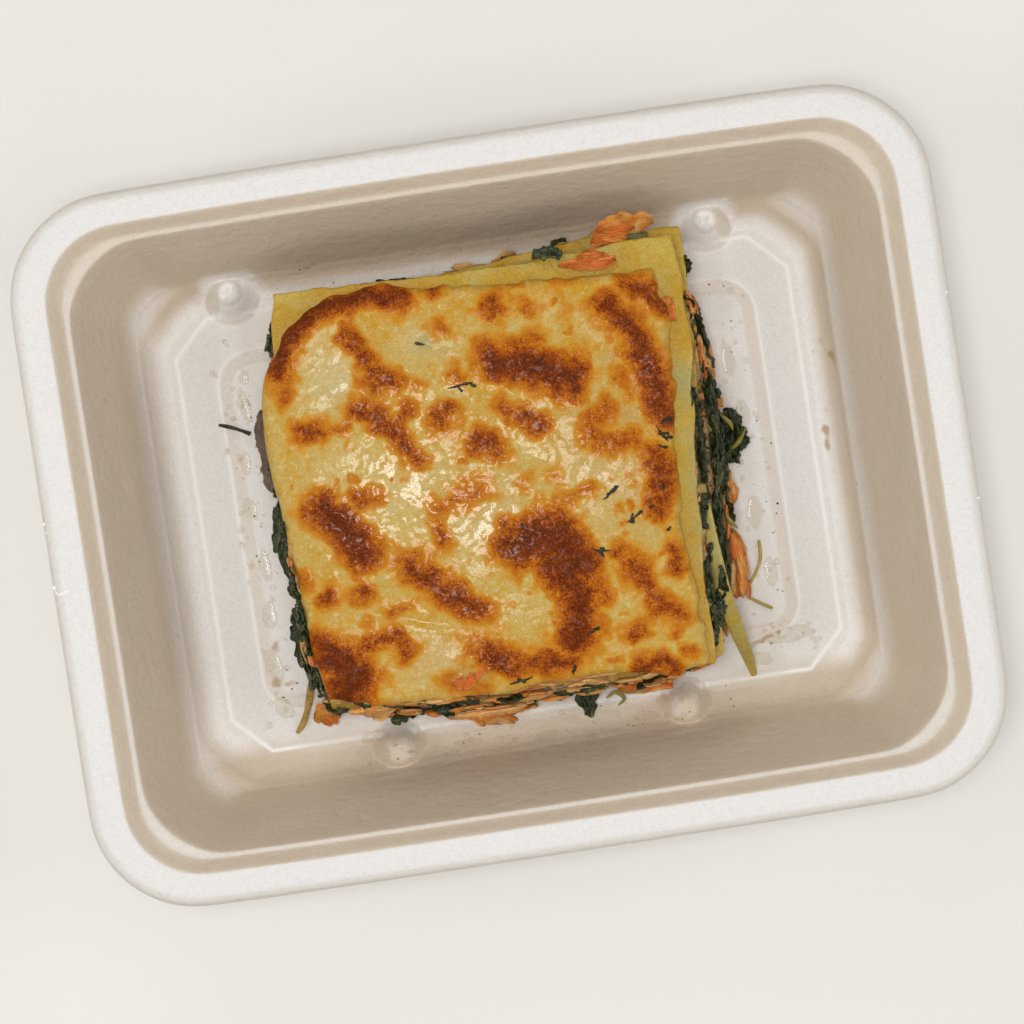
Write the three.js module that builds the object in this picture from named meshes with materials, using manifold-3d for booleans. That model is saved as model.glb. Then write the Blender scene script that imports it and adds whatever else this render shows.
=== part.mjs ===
// A baked portion of salmon and spinach lasagna in a moulded-pulp meal tray.
// Millimetres, +Z up. The origin is on the table under the middle of the tray, +X runs along its long side
// and -Y is the front.
import * as THREE from "three";
import { mergeGeometries, mergeVertices } from "three/addons/utils/BufferGeometryUtils.js";
import Module from "manifold-3d";

const wasm = await Module();
wasm.setup();

const { lerp, clamp, degToRad } = THREE.MathUtils;

// Driving dimensions of the tray: 227 x 177 x 50 mm, pressed from 1.6 mm pulp.
const HALF_LENGTH = 113.5;
const HALF_WIDTH = 88.5;
const HEIGHT = 50;
const PULP = 1.6;
const PANEL_RISE = 1.3; // the middle of the floor is pushed up this much, so the tray stands on a ring
const LEDGE_DROP = 4.4; // from the rim down to the ledge that a lid's plug meets
const LIP_DROP = 4.5; // how far the rim's outer edge turns down
const CORNER_STEPS = 7;
const HEADROOM = 20; // above the rim, for food that stands higher than the tray

// Four stubs at the foot of the long walls keep stacked trays apart.
const STUBS = [
  [-63.2, 61.8],
  [60.1, 61.8],
  [-37.9, -61.2],
  [36.9, -61.2],
];
const STUB_HEIGHT = 9.5;
const STUB_FOOT = 5.9;
const STUB_HEAD = 3.3;
const STUB_EDGE = 0.9; // how far its top edge is cut back
const STUB_SIDES = 12;

// Driving dimensions of the food.
const GAP = 0.3; // between pieces that touch
const SHEET = 1.5; // a boiled pasta sheet
const FILLINGS = [9.4, 8.8, 7.4]; // the three layers of salmon and spinach, from the lowest up
const CHEESE = 3.6; // white sauce and melted cheese
const LEAF = 0.7; // a wilted spinach leaf, folded on itself
const HALF_PORTION = [54, 56];
const SINK = 2.2; // how far the top of the portion drops at its sides
const WAVE = 0.5; // height of the slow waves that the layers lie in
const CRINKLE = 0.35; // height of the small bumps on the cheese

const MERGE = 1e-4; // corners closer than this are one
const SLIVER = 1e-3; // a smaller volume counts as none

const COLOURS = {
  pulp: { color: 0xe9e3dc, roughness: 0.85, metalness: 0 },
  pasta: { color: 0xc9b26a, roughness: 0.45, metalness: 0 },
  filling: { color: 0x7d6a3c, roughness: 0.5, metalness: 0 },
  cheese: { color: 0xd9b066, roughness: 0.4, metalness: 0 },
  salmon: { color: 0xc8703c, roughness: 0.5, metalness: 0 },
  skin: { color: 0x4a3326, roughness: 0.5, metalness: 0 },
  spinach: { color: 0x26331c, roughness: 0.4, metalness: 0 },
};

// Small tools for shapes

function seeded(seed) {
  const modulus = 2147483647;
  let state = (seed * 7919 + 104729) % modulus;
  return (low, high) => {
    state = (state * 16807) % modulus;
    return low + ((high - low) * state) / modulus;
  };
}

function moveVertices(geometry, mover) {
  const position = geometry.attributes.position;
  const point = new THREE.Vector3();
  for (let i = 0; i < position.count; i += 1) {
    point.fromBufferAttribute(position, i);
    mover(point, i);
    position.setXYZ(i, point.x, point.y, point.z);
  }
  return geometry;
}

function solidOf(geometry) {
  const bare = geometry.clone();
  bare.deleteAttribute("normal");
  bare.deleteAttribute("uv");
  const merged = mergeVertices(bare, MERGE);
  const vertProperties = new Float32Array(merged.attributes.position.array);
  const triVerts = new Uint32Array(merged.index.array);
  return new wasm.Manifold(new wasm.Mesh({ numProp: 3, vertProperties, triVerts }));
}

function geometryOf(solid) {
  const mesh = solid.getMesh();
  const geometry = new THREE.BufferGeometry();
  geometry.setAttribute("position", new THREE.BufferAttribute(new Float32Array(mesh.vertProperties), 3));
  geometry.setIndex(new THREE.BufferAttribute(new Uint32Array(mesh.triVerts), 1));
  geometry.computeVertexNormals();
  return geometry;
}

function largest(solid) {
  return solid.decompose().sort((a, b) => b.volume() - a.volume())[0];
}

const joined = (first, others) => others.reduce((whole, other) => whole.add(other), first);
const cutBy = (first, others) => others.reduce((whole, other) => whole.subtract(other), first);

// The same solid with its faces moved out by about amount.
function swollen(solid, amount) {
  const geometry = geometryOf(solid);
  const normal = geometry.attributes.normal;
  const away = new THREE.Vector3();
  moveVertices(geometry, (point, i) => point.addScaledVector(away.fromBufferAttribute(normal, i), amount));
  return solidOf(geometry);
}

// Smooth values between evenly spaced ones, read at t from -1 to 1.
function along(values) {
  const curve = new THREE.SplineCurve(values.map((value, i) => new THREE.Vector2(i, value)));
  return (t) => curve.getPoint(clamp((t + 1) / 2, 0, 1)).y;
}

// A value between two ends, read at t from -1 to 1.
const between = (low, high) => (t) => lerp(low, high, (t + 1) / 2);

// A closed solid over a square of columns x rows: place(point, u, v, w) puts a point for u, v from -1 to 1
// and w from 0 at the bottom to 1 at the top. Its top and bottom are split into triangles alike.
function slab(columns, rows, tiers, place) {
  const top = new THREE.PlaneGeometry(2, 2, columns, rows);
  const bottom = top.clone();
  bottom.index.array.reverse();
  const rim = [];
  for (let i = 0; i < columns; i += 1) rim.push(i + (columns + 1) * rows);
  for (let j = rows; j > 0; j -= 1) rim.push(columns + (columns + 1) * j);
  for (let i = columns; i > 0; i -= 1) rim.push(i);
  for (let j = 0; j < rows; j += 1) rim.push((columns + 1) * j);
  const corners = rim.map((i) => [top.attributes.position.getX(i), top.attributes.position.getY(i)]);
  const walls = new THREE.PlaneGeometry(1, 1, rim.length, tiers);
  moveVertices(top, (point) => place(point, point.x, point.y, 1));
  moveVertices(bottom, (point) => place(point, point.x, point.y, 0));
  moveVertices(walls, (point, i) => {
    const [u, v] = corners[(i % (rim.length + 1)) % rim.length];
    place(point, u, v, 1 - Math.floor(i / (rim.length + 1)) / tiers);
  });
  return mergeGeometries([top, bottom, walls]);
}

// The tray

// One level of the tray is a rectangle whose corners are cut back by cut. straight 0 rounds them and 1 makes
// them a chamfer.
const level = (x, y, cut, straight, z) => ({ x, y, cut, straight, z });
const LEDGE = HEIGHT - LEDGE_DROP;

// The inside, from the raised panel in the floor up to the rim.
const INSIDE = [
  level(66.2, 43.6, 6.5, 0, PULP + PANEL_RISE),
  level(70.1, 46.8, 9.5, 0, PULP),
  level(82.4, 58.9, 10, 0.85, PULP),
  level(85.2, 61.2, 11, 0.85, PULP + 0.5),
  level(87.3, 63.6, 12.5, 0.75, PULP + 2.6),
  level(88.3, 65, 14, 0.55, PULP + 6.4),
  level(88.9, 65.7, 11, 0.1, PULP + 7.2),
  level(93.6, 70.4, 14, 0.15, HEIGHT / 2 + 1),
  level(98.9, 75.6, 18, 0.45, LEDGE - 0.4),
  level(100.8, 77.3, 17, 0, LEDGE),
  level(103.6, 79.5, 18, 0, HEIGHT - 0.6),
  level(104.6, 80.5, 18.8, 0, HEIGHT),
];
// The rim's outer edge and the outside of the walls, down to the half of their height.
const OUTER_RIM = [
  level(110.2, 85.5, 23, 0, HEIGHT),
  level(112.4, 87.5, 25, 0, HEIGHT - 1.2),
  level(HALF_LENGTH, HALF_WIDTH, 26, 0, HEIGHT - LIP_DROP),
  level(HALF_LENGTH - PULP, HALF_WIDTH - PULP, 24.6, 0, HEIGHT - LIP_DROP),
  level(109.8, 85.1, 22.6, 0, HEIGHT - PULP),
  level(106, 81.9, 19.8, 0, HEIGHT - PULP),
  level(102.6, 79, 17.6, 0, LEDGE - PULP),
  level(100.4, 77, 18, 0.35, LEDGE - PULP - 0.4),
];
// The outside of the walls and the underside, from there to the panel.
const UNDERSIDE = [
  level(95.2, 72, 14.6, 0.15, HEIGHT / 2 + 0.6),
  level(90.6, 67.4, 11.6, 0.1, PULP + 6.2),
  level(90, 66.7, 14.2, 0.55, PULP + 5.2),
  level(88.6, 64.9, 12.6, 0.75, PULP + 0.6),
  level(86.6, 62.6, 11.2, 0.85, 0.4),
  level(84.8, 61, 10.8, 0.85, 0),
  level(70.9, 47.6, 10.2, 0, 0),
  level(67, 44.4, 7.2, 0, PANEL_RISE),
];

function levelPoint({ x, y, cut, straight }, segment) {
  const quarter = Math.floor(segment / (CORNER_STEPS + 1)) % 4;
  const step = (segment % (CORNER_STEPS + 1)) / CORNER_STEPS;
  const angle = (step * Math.PI) / 2;
  const across = lerp(Math.cos(angle), 1 - step, straight) * cut;
  const up = lerp(Math.sin(angle), step, straight) * cut;
  if (quarter === 0) return [x - cut + across, y - cut + up];
  if (quarter === 1) return [-(x - cut + up), y - cut + across];
  if (quarter === 2) return [-(x - cut + across), -(y - cut + up)];
  return [x - cut + up, -(y - cut + across)];
}

// A closed solid through a run of levels, from the axis out and back to the axis.
function loft(levels) {
  const segments = 4 * (CORNER_STEPS + 1);
  const axis = new THREE.Vector2(0, 0);
  const profile = [axis, ...levels.map((_, i) => new THREE.Vector2(1, i)), axis];
  const geometry = new THREE.LatheGeometry(profile, segments);
  moveVertices(geometry, (point, i) => {
    const row = (i % profile.length) - 1;
    const ring = levels[row];
    if (ring) {
      const [x, y] = levelPoint(ring, Math.floor(i / profile.length) % segments);
      point.set(x, y, ring.z);
    } else {
      point.set(0, 0, (row < 0 ? levels[0] : levels.at(-1)).z);
    }
  });
  const solid = solidOf(geometry);
  if (solid.volume() > 0) return solid;
  geometry.index.array.reverse();
  return solidOf(geometry);
}

function stub([x, y], inset) {
  const profile = [
    new THREE.Vector2(0, -PULP),
    new THREE.Vector2(STUB_FOOT + STUB_EDGE - inset, -PULP),
    new THREE.Vector2(STUB_FOOT - inset, PULP / 2),
    new THREE.Vector2(STUB_HEAD + (2 / 3) * STUB_EDGE - inset, STUB_HEIGHT - STUB_EDGE - inset),
    new THREE.Vector2(STUB_HEAD - inset, STUB_HEIGHT - inset),
    new THREE.Vector2(0, STUB_HEIGHT - inset),
  ];
  const geometry = new THREE.LatheGeometry(profile, STUB_SIDES);
  geometry.rotateX(Math.PI / 2);
  geometry.translate(x, y, PULP);
  return solidOf(geometry);
}

// The stubs are hollow from below, like everything pressed from one sheet.
function tray() {
  const foot = loft([...UNDERSIDE].reverse());
  const shell = loft([...INSIDE, ...OUTER_RIM, ...UNDERSIDE]);
  const outer = STUBS.map((place) => stub(place, 0).intersect(foot));
  const inner = STUBS.map((place) => stub(place, PULP));
  return largest(cutBy(joined(shell, outer), inner));
}

// The room in the tray, less a thin gap: what lies in the tray is cut to it.
function room() {
  const levels = INSIDE.map((l) => level(l.x - GAP, l.y - GAP, l.cut, l.straight, l.z + GAP));
  levels.push({ ...levels.at(-1), z: HEIGHT + HEADROOM });
  return cutBy(loft(levels), STUBS.map((place) => stub(place, -GAP)));
}

// The stack of pasta, filling and cheese

// Heights of the stack's surfaces above the panel, two for each layer, with the gap between layers.
const THICKNESSES = [SHEET, FILLINGS[0], SHEET, FILLINGS[1], SHEET, FILLINGS[2], SHEET, CHEESE];
const SURFACES = THICKNESSES.map((thick, i) => {
  const low = THICKNESSES.slice(0, i).reduce((sum, value) => sum + value + GAP, 0);
  return [low, low + thick];
});
const STACK_FOOT = PULP + PANEL_RISE + GAP;
const TOP = SURFACES.at(-1)[1];

// The layers lie in slow waves and sink towards the sides of the cut, the lowest of them flat on the panel.
function surface(height, x, y) {
  const edge = Math.abs(x / HALF_PORTION[0]) ** 3 + Math.abs(y / HALF_PORTION[1]) ** 3;
  const wave = 1.1 * Math.sin(x / 15 + height / 7) + Math.sin(y / 14 + height / 5 + x / 40);
  const share = height / TOP;
  return STACK_FOOT + height - SINK * share * edge + WAVE * wave * Math.min(1, 2 * share);
}

// Outlines: left and right run from the front to the back, front and back from the left to the right, and
// corner is how much of the corners is rounded off.
const OUTLINES = {
  pasta_sheet_1: {
    left: [-55, -56, -55.5, -55, -53.5],
    right: [49, 51.5, 53, 52, 51],
    front: [-49, -50, -50.5, -50.5, -50],
    back: [56, 56.5, 56.5, 57, 57.5],
    corner: 0.02,
  },
  filling_1: {
    left: [-56, -57.5, -57, -56.5, -54],
    right: [50, 52.6, 54.5, 53.5, 52],
    front: [-49, -50.5, -52, -52, -50.5],
    back: [57, 57.5, 57.5, 60, 59],
    corner: 0.05,
  },
  pasta_sheet_2: {
    left: [-54, -55, -54.5, -54, -52],
    right: [47.5, 49.5, 51, 51.5, 50.5],
    front: [-48.5, -50, -49.5, -49.5, -48.5],
    back: [55.5, 56, 56, 57, 58],
    corner: 0.02,
  },
  filling_2: {
    left: [-54.5, -56, -56, -55.5, -53],
    right: [47, 49, 52, 52, 50],
    front: [-45.5, -47, -49.5, -49.5, -48.5],
    back: [56, 56, 56, 58.5, 58],
    corner: 0.05,
  },
  pasta_sheet_3: {
    left: [-52, -53, -53, -53, -51],
    right: [46.5, 46.5, 49, 51.2, 51.2],
    front: [-46, -46.5, -48, -50.5, -48.5],
    back: [55, 55.5, 55, 57, 60.6],
    corner: 0.01,
  },
  filling_3: {
    left: [-53, -54.5, -54.8, -54.5, -52],
    right: [45.5, 45.5, 47.5, 48, 47],
    front: [-45.5, -46.5, -46.5, -46.5, -47.5],
    back: [55, 54.5, 54, 55.5, 57],
    corner: 0.04,
  },
  pasta_sheet_4: {
    left: [-51.5, -52.8, -53, -53, -51.2],
    right: [44.5, 43.8, 45.5, 46.8, 46],
    front: [-44.5, -45, -45.5, -45.5, -49],
    back: [58.2, 57.4, 56.4, 57.2, 57.6],
    corner: 0,
  },
  cheese_crust: {
    left: [-52, -54.5, -55, -56, -51],
    right: [41.5, 39.6, 40.6, 43, 42.6],
    front: [-43, -46, -47.2, -46.4, -50.6],
    back: [47, 56.6, 52, 51, 51.2],
    corner: 0.07,
  },
};

// Swells of the browned cheese: middle, half sizes, turn in degrees and height.
const BLISTERS = [
  { x: 8, y: -14, across: 12, along: 9, turn: 0, rise: 0.9 },
  { x: 9, y: 31, across: 12, along: 7, turn: -20, rise: 0.8 },
  { x: -41, y: -3, across: 11, along: 5, turn: -50, rise: 0.7 },
  { x: -26, y: 28, across: 16, along: 5, turn: -65, rise: 0.6 },
  { x: -47, y: -34, across: 9, along: 8, turn: 0, rise: 0.7 },
  { x: -16, y: -23, across: 13, along: 5, turn: -45, rise: 0.6 },
  { x: 39, y: 27, across: 14, along: 5, turn: -75, rise: 0.6 },
  { x: -35, y: 52, across: 15, along: 4, turn: 5, rise: 0.5 },
  { x: 24, y: 13, across: 8, along: 7, turn: 0, rise: 0.4 },
  { x: -10, y: -38, across: 8, along: 7, turn: 0, rise: 0.5 },
];

function cheeseRelief(x, y) {
  const swells = BLISTERS.map((b) => {
    const turn = degToRad(b.turn);
    const u = ((x - b.x) * Math.cos(turn) + (y - b.y) * Math.sin(turn)) / b.across;
    const v = ((y - b.y) * Math.cos(turn) - (x - b.x) * Math.sin(turn)) / b.along;
    return b.rise * Math.exp(-(u * u + v * v));
  });
  const crinkle = Math.sin(x / 4.7 + Math.sin(y / 6)) * Math.cos(y / 5.3);
  return swells.reduce((sum, value) => sum + value, 0) + CRINKLE * crinkle;
}

// One layer between two surfaces. round draws its top edge in and bulge pushes the middle of its sides out.
function layer({ name, index, grid, tiers, bulge = 0, round = 0, relief = () => 0 }) {
  const outline = OUTLINES[name];
  const [left, right, front, back] = [outline.left, outline.right, outline.front, outline.back].map(along);
  const [low, high] = SURFACES[index];
  const geometry = slab(grid, grid, tiers, (point, u, v, w) => {
    const onEdge = Math.max(Math.abs(u), Math.abs(v)) > 1 - MERGE;
    const pull = 1 - outline.corner * (u * v) ** 4 - (onEdge ? round * w ** 3 : 0);
    const push = onEdge ? bulge * Math.sin(Math.PI * w) : 0;
    const x = between(left(v), right(v))(u * pull) + Math.sign(u) * push * u * u;
    const y = between(front(u), back(u))(v * pull) + Math.sign(v) * push * v * v;
    const top = surface(high, x, y) + (onEdge ? 0 : relief(x, y));
    point.set(x, y, lerp(surface(low, x, y), top, w));
  });
  return solidOf(geometry);
}

const LAYERS = [
  { name: "pasta_sheet_1", look: "pasta", grid: 9, tiers: 1 },
  { name: "filling_1", look: "filling", grid: 8, tiers: 2, bulge: 0.9 },
  { name: "pasta_sheet_2", look: "pasta", grid: 9, tiers: 1 },
  { name: "filling_2", look: "filling", grid: 8, tiers: 2, bulge: 0.9 },
  { name: "pasta_sheet_3", look: "pasta", grid: 9, tiers: 1 },
  { name: "filling_3", look: "filling", grid: 8, tiers: 2, bulge: 0.7 },
  { name: "pasta_sheet_4", look: "pasta", grid: 9, tiers: 1 },
  { name: "cheese_crust", look: "cheese", grid: 16, tiers: 2, bulge: 0.3, round: 0.02, relief: cheeseRelief },
];

// Loose pieces of salmon, spinach and pasta

function placed(geometry, { at, turn = 0, tilt = 0, lean = 0 }) {
  geometry.rotateX(degToRad(lean));
  geometry.rotateY(degToRad(tilt));
  geometry.rotateZ(degToRad(turn));
  geometry.translate(...at);
  return solidOf(geometry);
}

// A flake of cooked salmon: a ragged lens whose top steps down in leaves across its width.
function salmon({ size, seed, steps = 3, ...place }) {
  const random = seeded(seed);
  const [length, width, height] = size;
  const tear = () => along(Array.from({ length: 7 }, () => random(-0.12, 0.12)));
  const ragged = tear();
  const torn = tear();
  const geometry = slab(6, 4, 1, (point, u, v, w) => {
    const x = (length / 2) * u * (1 - 0.18 * v * v) * (1 + ragged(v));
    const y = (width / 2) * (v * (1 - 0.5 * Math.abs(u) ** 3) + torn(u));
    const thin = 1 - 0.72 * Math.max(Math.abs(u), Math.abs(v)) ** 3;
    const terrace = 0.1 * height * (((v + 1) * steps * 0.5) % 1);
    point.set(x, y, height * (w - 0.5) * thin + w * terrace);
  });
  return placed(geometry, place);
}

// A wilted leaf: thin, waved, pointed at its ends and curled along its length.
function leaf({ size, seed, curl = 0.2, columns = 5, rows = 2, ...place }) {
  const random = seeded(seed);
  const [length, width] = size;
  const phase = random(0, 6);
  const geometry = slab(columns, rows, 1, (point, u, v, w) => {
    const half = (width / 2) * (0.25 + 0.75 * Math.sqrt(Math.max(0, 1 - u * u)));
    const wave = width * (0.09 * Math.sin(5 * u + phase) + 0.08 * Math.sin(4 * v + 3 * u));
    const bend = -curl * length * u * u;
    const sway = 0.12 * width * Math.sin(3 * u + phase);
    point.set((length / 2) * u, half * v + sway, wave + bend + LEAF * (w - 0.5));
  });
  return placed(geometry, place);
}

// A stem, shred or strip along a smooth curve, with an oval or flat section.
function strand({ points, wide, thick, sides = 6, steps = 10 }) {
  const curve = new THREE.CatmullRomCurve3(points.map((p) => new THREE.Vector3(...p)));
  const outline = Array.from({ length: sides }, (_, i) => {
    const angle = ((i + 0.5) * 2 * Math.PI) / sides;
    return new THREE.Vector2((Math.cos(angle) * thick) / 2, (Math.sin(angle) * wide) / 2);
  });
  const shape = new THREE.Shape(outline);
  return solidOf(new THREE.ExtrudeGeometry(shape, { steps, extrudePath: curve, bevelEnabled: false }));
}

// Leaves pressed into one clump.
function clump({ leaves, size, reach, seed, at }) {
  const random = seeded(seed);
  const pieces = Array.from({ length: leaves }, (_, i) => {
    const place = at.map((value, axis) => value + random(-1, 1) * reach[axis]);
    const [turn, tilt, lean] = [random(0, 180), random(-35, 35), random(-40, 40)];
    return leaf({ size, seed: seed + i, columns: 4, curl: 0.08, at: place, turn, tilt, lean });
  });
  return joined(pieces[0], pieces.slice(1));
}

// A place that is lift above the top of one of the stack's layers.
const onLayer = (name, x, y, lift) => {
  const index = LAYERS.findIndex((l) => l.name === name);
  return [x, y, surface(SURFACES[index][1], x, y) + GAP + lift];
};

// The pasta strip hangs from the third sheet's edge down to the tray's floor.
const STRIP_ROUTE = [
  [47.6, -4, 28.2],
  [48.2, -18, 27.4],
  [49.4, -32, 25.4],
  [52, -43, 18.4],
  [54.4, -50, 9.6],
  [56.2, -56, 3.4],
];
const BACK_STEM_ROUTE = [
  onLayer("pasta_sheet_3", 30.5, 59.4, 1.2),
  onLayer("pasta_sheet_3", 37, 59, 1.6),
  onLayer("pasta_sheet_3", 43.6, 58.6, 1.2),
];
const HERB_STEM_ROUTE = [
  [-71.4, 28.9, 3],
  [-67.4, 27.4, 4.5],
  [-63.4, 25.3, 5.6],
];
const FRONT_STEM_ROUTE = [
  [-60.6, -41.4, 5.4],
  [-62, -46.5, 4],
  [-64.4, -53, 2.8],
];
const UPPER_THREAD_ROUTE = [
  [62, -20.6, 3.8],
  [62, -25.5, 3.8],
  [61.6, -29, 3.8],
];
const LOWER_THREAD_ROUTE = [
  [58, -36.4, 3.8],
  [60.4, -38, 3.8],
  [62.8, -39.4, 3.8],
];

// Every loose piece, from the ones on the tray's floor up to the ones on the pasta.
const LOOSE = [
  {
    name: "salmon_skin_left",
    look: "skin",
    solid: salmon({ size: [20.5, 15, 4], at: [-60.4, 20.6, 11.4], turn: 90, lean: 80, seed: 3, steps: 1 }),
  },
  {
    name: "spinach_left_back",
    look: "spinach",
    solid: leaf({ size: [27, 11], curl: 0.05, at: [-60, -4, 10.4], turn: 90, lean: 76, seed: 4 }),
  },
  {
    name: "spinach_left_front",
    look: "spinach",
    solid: leaf({ size: [25, 11], curl: 0.04, at: [-59.6, -30, 10], turn: 86, lean: 72, seed: 5 }),
  },
  {
    name: "salmon_front_left_corner",
    look: "salmon",
    solid: salmon({ size: [8, 6, 6], at: [-57.2, -48.6, 6.4], turn: 40, seed: 6, steps: 2 }),
  },
  {
    name: "salmon_front_middle",
    look: "salmon",
    solid: salmon({ size: [26, 8, 9], at: [-12.5, -55.2, 8], turn: -3, lean: 20, seed: 7, steps: 4 }),
  },
  {
    name: "salmon_front_right",
    look: "salmon",
    solid: salmon({ size: [16.5, 7, 9], at: [27, -54.6, 8.4], turn: 4, lean: 25, seed: 8 }),
  },
  {
    name: "spinach_front_left",
    look: "spinach",
    solid: leaf({ size: [12, 9], curl: 0.1, at: [-33.6, -53.4, 8.4], turn: -6, lean: 70, seed: 9 }),
  },
  {
    name: "spinach_front_clump",
    look: "spinach",
    solid: clump({ leaves: 3, size: [11, 6], reach: [1, 0.8, 1.5], at: [13, -56.2, 7.6], seed: 12 }),
  },
  {
    name: "salmon_right_upper",
    look: "salmon",
    solid: salmon({ size: [15, 7, 9], at: [56.4, 27.5, 8.4], turn: 86, lean: 15, seed: 13 }),
  },
  {
    name: "spinach_right_clump",
    look: "spinach",
    solid: clump({ leaves: 4, size: [15, 9], reach: [1.2, 2.4, 3], at: [59, 8, 10], seed: 21 }),
  },
  {
    name: "salmon_right_middle",
    look: "salmon",
    solid: salmon({ size: [10, 6, 8], at: [57, -7, 8], turn: 95, lean: 10, seed: 15 }),
  },
  {
    name: "salmon_right_lower",
    look: "salmon",
    solid: salmon({ size: [18, 7, 10], at: [57, -27, 8.8], turn: 91, lean: 12, seed: 16, steps: 4 }),
  },
  {
    name: "salmon_front_left",
    look: "salmon",
    solid: salmon({ size: [12, 5.4, 6.4], at: [-42.4, -50.2, 20], turn: -8, lean: 10, seed: 17 }),
  },
  {
    name: "salmon_front_strip",
    look: "salmon",
    solid: salmon({ size: [16, 4.4, 5], at: [12.6, -50.2, 28.6], turn: -2, seed: 18, steps: 2 }),
  },
  {
    name: "spinach_right_lower",
    look: "spinach",
    solid: leaf({ size: [30, 8], curl: 0.02, at: [53.4, -20.5, 20.4], turn: 91, lean: 62, seed: 19 }),
  },
  {
    name: "pasta_strip_right",
    look: "pasta",
    solid: strand({ points: STRIP_ROUTE, wide: 4, thick: SHEET, sides: 4, steps: 14 }),
  },
  {
    name: "salmon_right_bit",
    look: "salmon",
    solid: salmon({ size: [9, 4.6, 4], at: [54.6, 15.2, 20], turn: 12, seed: 22, steps: 2 }),
  },
  {
    name: "spinach_right_upper",
    look: "spinach",
    solid: leaf({ size: [9, 6], curl: 0.1, at: [55.6, 38.5, 12], turn: 80, lean: 60, seed: 23 }),
  },
  {
    name: "spinach_right_top",
    look: "spinach",
    solid: leaf({ size: [8, 6], curl: 0.15, at: [53.6, 49.5, 22.5], turn: 80, lean: 55, seed: 24 }),
  },
  {
    name: "spinach_stem_back",
    look: "spinach",
    solid: strand({ points: BACK_STEM_ROUTE, wide: 2.4, thick: 2, steps: 6 }),
  },
  {
    name: "salmon_back_high",
    look: "salmon",
    solid: salmon({ size: [20.5, 9, 5.6], at: [37, 63, 30.6], turn: 2, lean: -8, seed: 1, steps: 4 }),
  },
  {
    name: "salmon_back_low",
    look: "salmon",
    solid: salmon({
      size: [17.6, 4.8, 4.2],
      at: onLayer("pasta_sheet_4", 28, 54.4, 1.9), turn: 6, seed: 2,
    }),
  },
  {
    name: "spinach_back_leaf",
    look: "spinach",
    solid: leaf({
      size: [9.4, 5.4],
      at: onLayer("pasta_sheet_4", 18.4, 57.6, 1.6), turn: -10, lean: 12, seed: 25,
    }),
  },
  {
    name: "salmon_right_top",
    look: "salmon",
    solid: salmon({
      size: [6.4, 3.8, 3.4],
      at: onLayer("pasta_sheet_4", 45.7, 39.4, 1.4), turn: 78, seed: 26, steps: 2,
    }),
  },
  {
    name: "spinach_front_right",
    look: "spinach",
    solid: leaf({ size: [6.5, 4.4], at: onLayer("pasta_sheet_3", 47, -36, 2.4), turn: 70, seed: 27 }),
  },
  {
    name: "herb_stem_left",
    look: "spinach",
    solid: strand({ points: HERB_STEM_ROUTE, wide: 1.5, thick: 1.3, steps: 5 }),
  },
  {
    name: "spinach_stem_front_left",
    look: "spinach",
    solid: strand({ points: FRONT_STEM_ROUTE, wide: 2, thick: 1.1, steps: 6 }),
  },
  {
    name: "pasta_thread_upper",
    look: "pasta",
    solid: strand({ points: UPPER_THREAD_ROUTE, wide: 1, thick: 0.9, steps: 5 }),
  },
  {
    name: "pasta_thread_lower",
    look: "pasta",
    solid: strand({ points: LOWER_THREAD_ROUTE, wide: 1, thick: 0.9, steps: 5 }),
  },
];

// Herb leaves baked onto the cheese: middle, length and turn in degrees.
const HERBS = [
  { x: -8, y: 28.4, length: 6.4, turn: 4 },
  { x: 24.4, y: -2.8, length: 5, turn: 35 },
  { x: 29, y: -9.6, length: 4.6, turn: 30 },
  { x: 20, y: -16.2, length: 4.4, turn: -12 },
  { x: 14.6, y: -35.6, length: 3.4, turn: 25 },
  { x: 38.8, y: 9.4, length: 5, turn: -60 },
  { x: -4, y: -44.8, length: 6, turn: 10 },
];

function herb({ x, y, length, turn }) {
  const angle = degToRad(turn);
  const points = [-0.5, 0, 0.5].map((share) => {
    const px = x + Math.cos(angle) * length * share;
    const py = y + Math.sin(angle) * length * share + 0.5 * (0.5 - Math.abs(share));
    return [px, py, surface(TOP, px, py) + cheeseRelief(px, py) + 0.25];
  });
  return strand({ points, wide: 1.5, thick: 1, sides: 5, steps: 3 });
}

// Bits of fish and leaf that stick out of a filling's sides, spread evenly round it.
const BITS_A_SIDE = 5;
const LEAF_SHARE = 0.4; // of the bits
const SIDE_REACH = 0.92; // how near the bits come to the corners

function sideBit(random, at, turn, depth, seed) {
  if (random(0, 1) < LEAF_SHARE) {
    const size = [random(5, 8), depth * 0.6];
    return leaf({ size, seed, columns: 3, rows: 1, curl: 0.1, at, turn, lean: random(40, 75) });
  }
  const lump = new THREE.IcosahedronGeometry(1, 0);
  lump.scale(random(3, 5), random(1.8, 3), depth * random(0.22, 0.3));
  return placed(lump, { at, turn: turn + 60, tilt: random(-12, 12) });
}

function bits({ name, index }) {
  const { left, right, front, back } = OUTLINES[name];
  const [low, high] = SURFACES[index];
  const random = seeded(index * 31);
  const sides = [
    { x: along(left), y: between(front[0], back[0]), out: 180 },
    { x: along(right), y: between(front[4], back[4]), out: 0 },
    { x: between(left[0], right[0]), y: along(front), out: -90 },
    { x: between(left[4], right[4]), y: along(back), out: 90 },
  ];
  return sides.flatMap((side) =>
    Array.from({ length: BITS_A_SIDE }, (_, i) => {
      const t = between(-SIDE_REACH, SIDE_REACH)((2 * (i + random(0.2, 0.8))) / BITS_A_SIDE - 1);
      const [x, y] = [side.x(t), side.y(t)];
      const z = surface(lerp(low, high, random(0.42, 0.58)), x, y);
      return sideBit(random, [x, y, z], side.out + random(-25, 25), high - low, i + 50 * index);
    }),
  );
}

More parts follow.
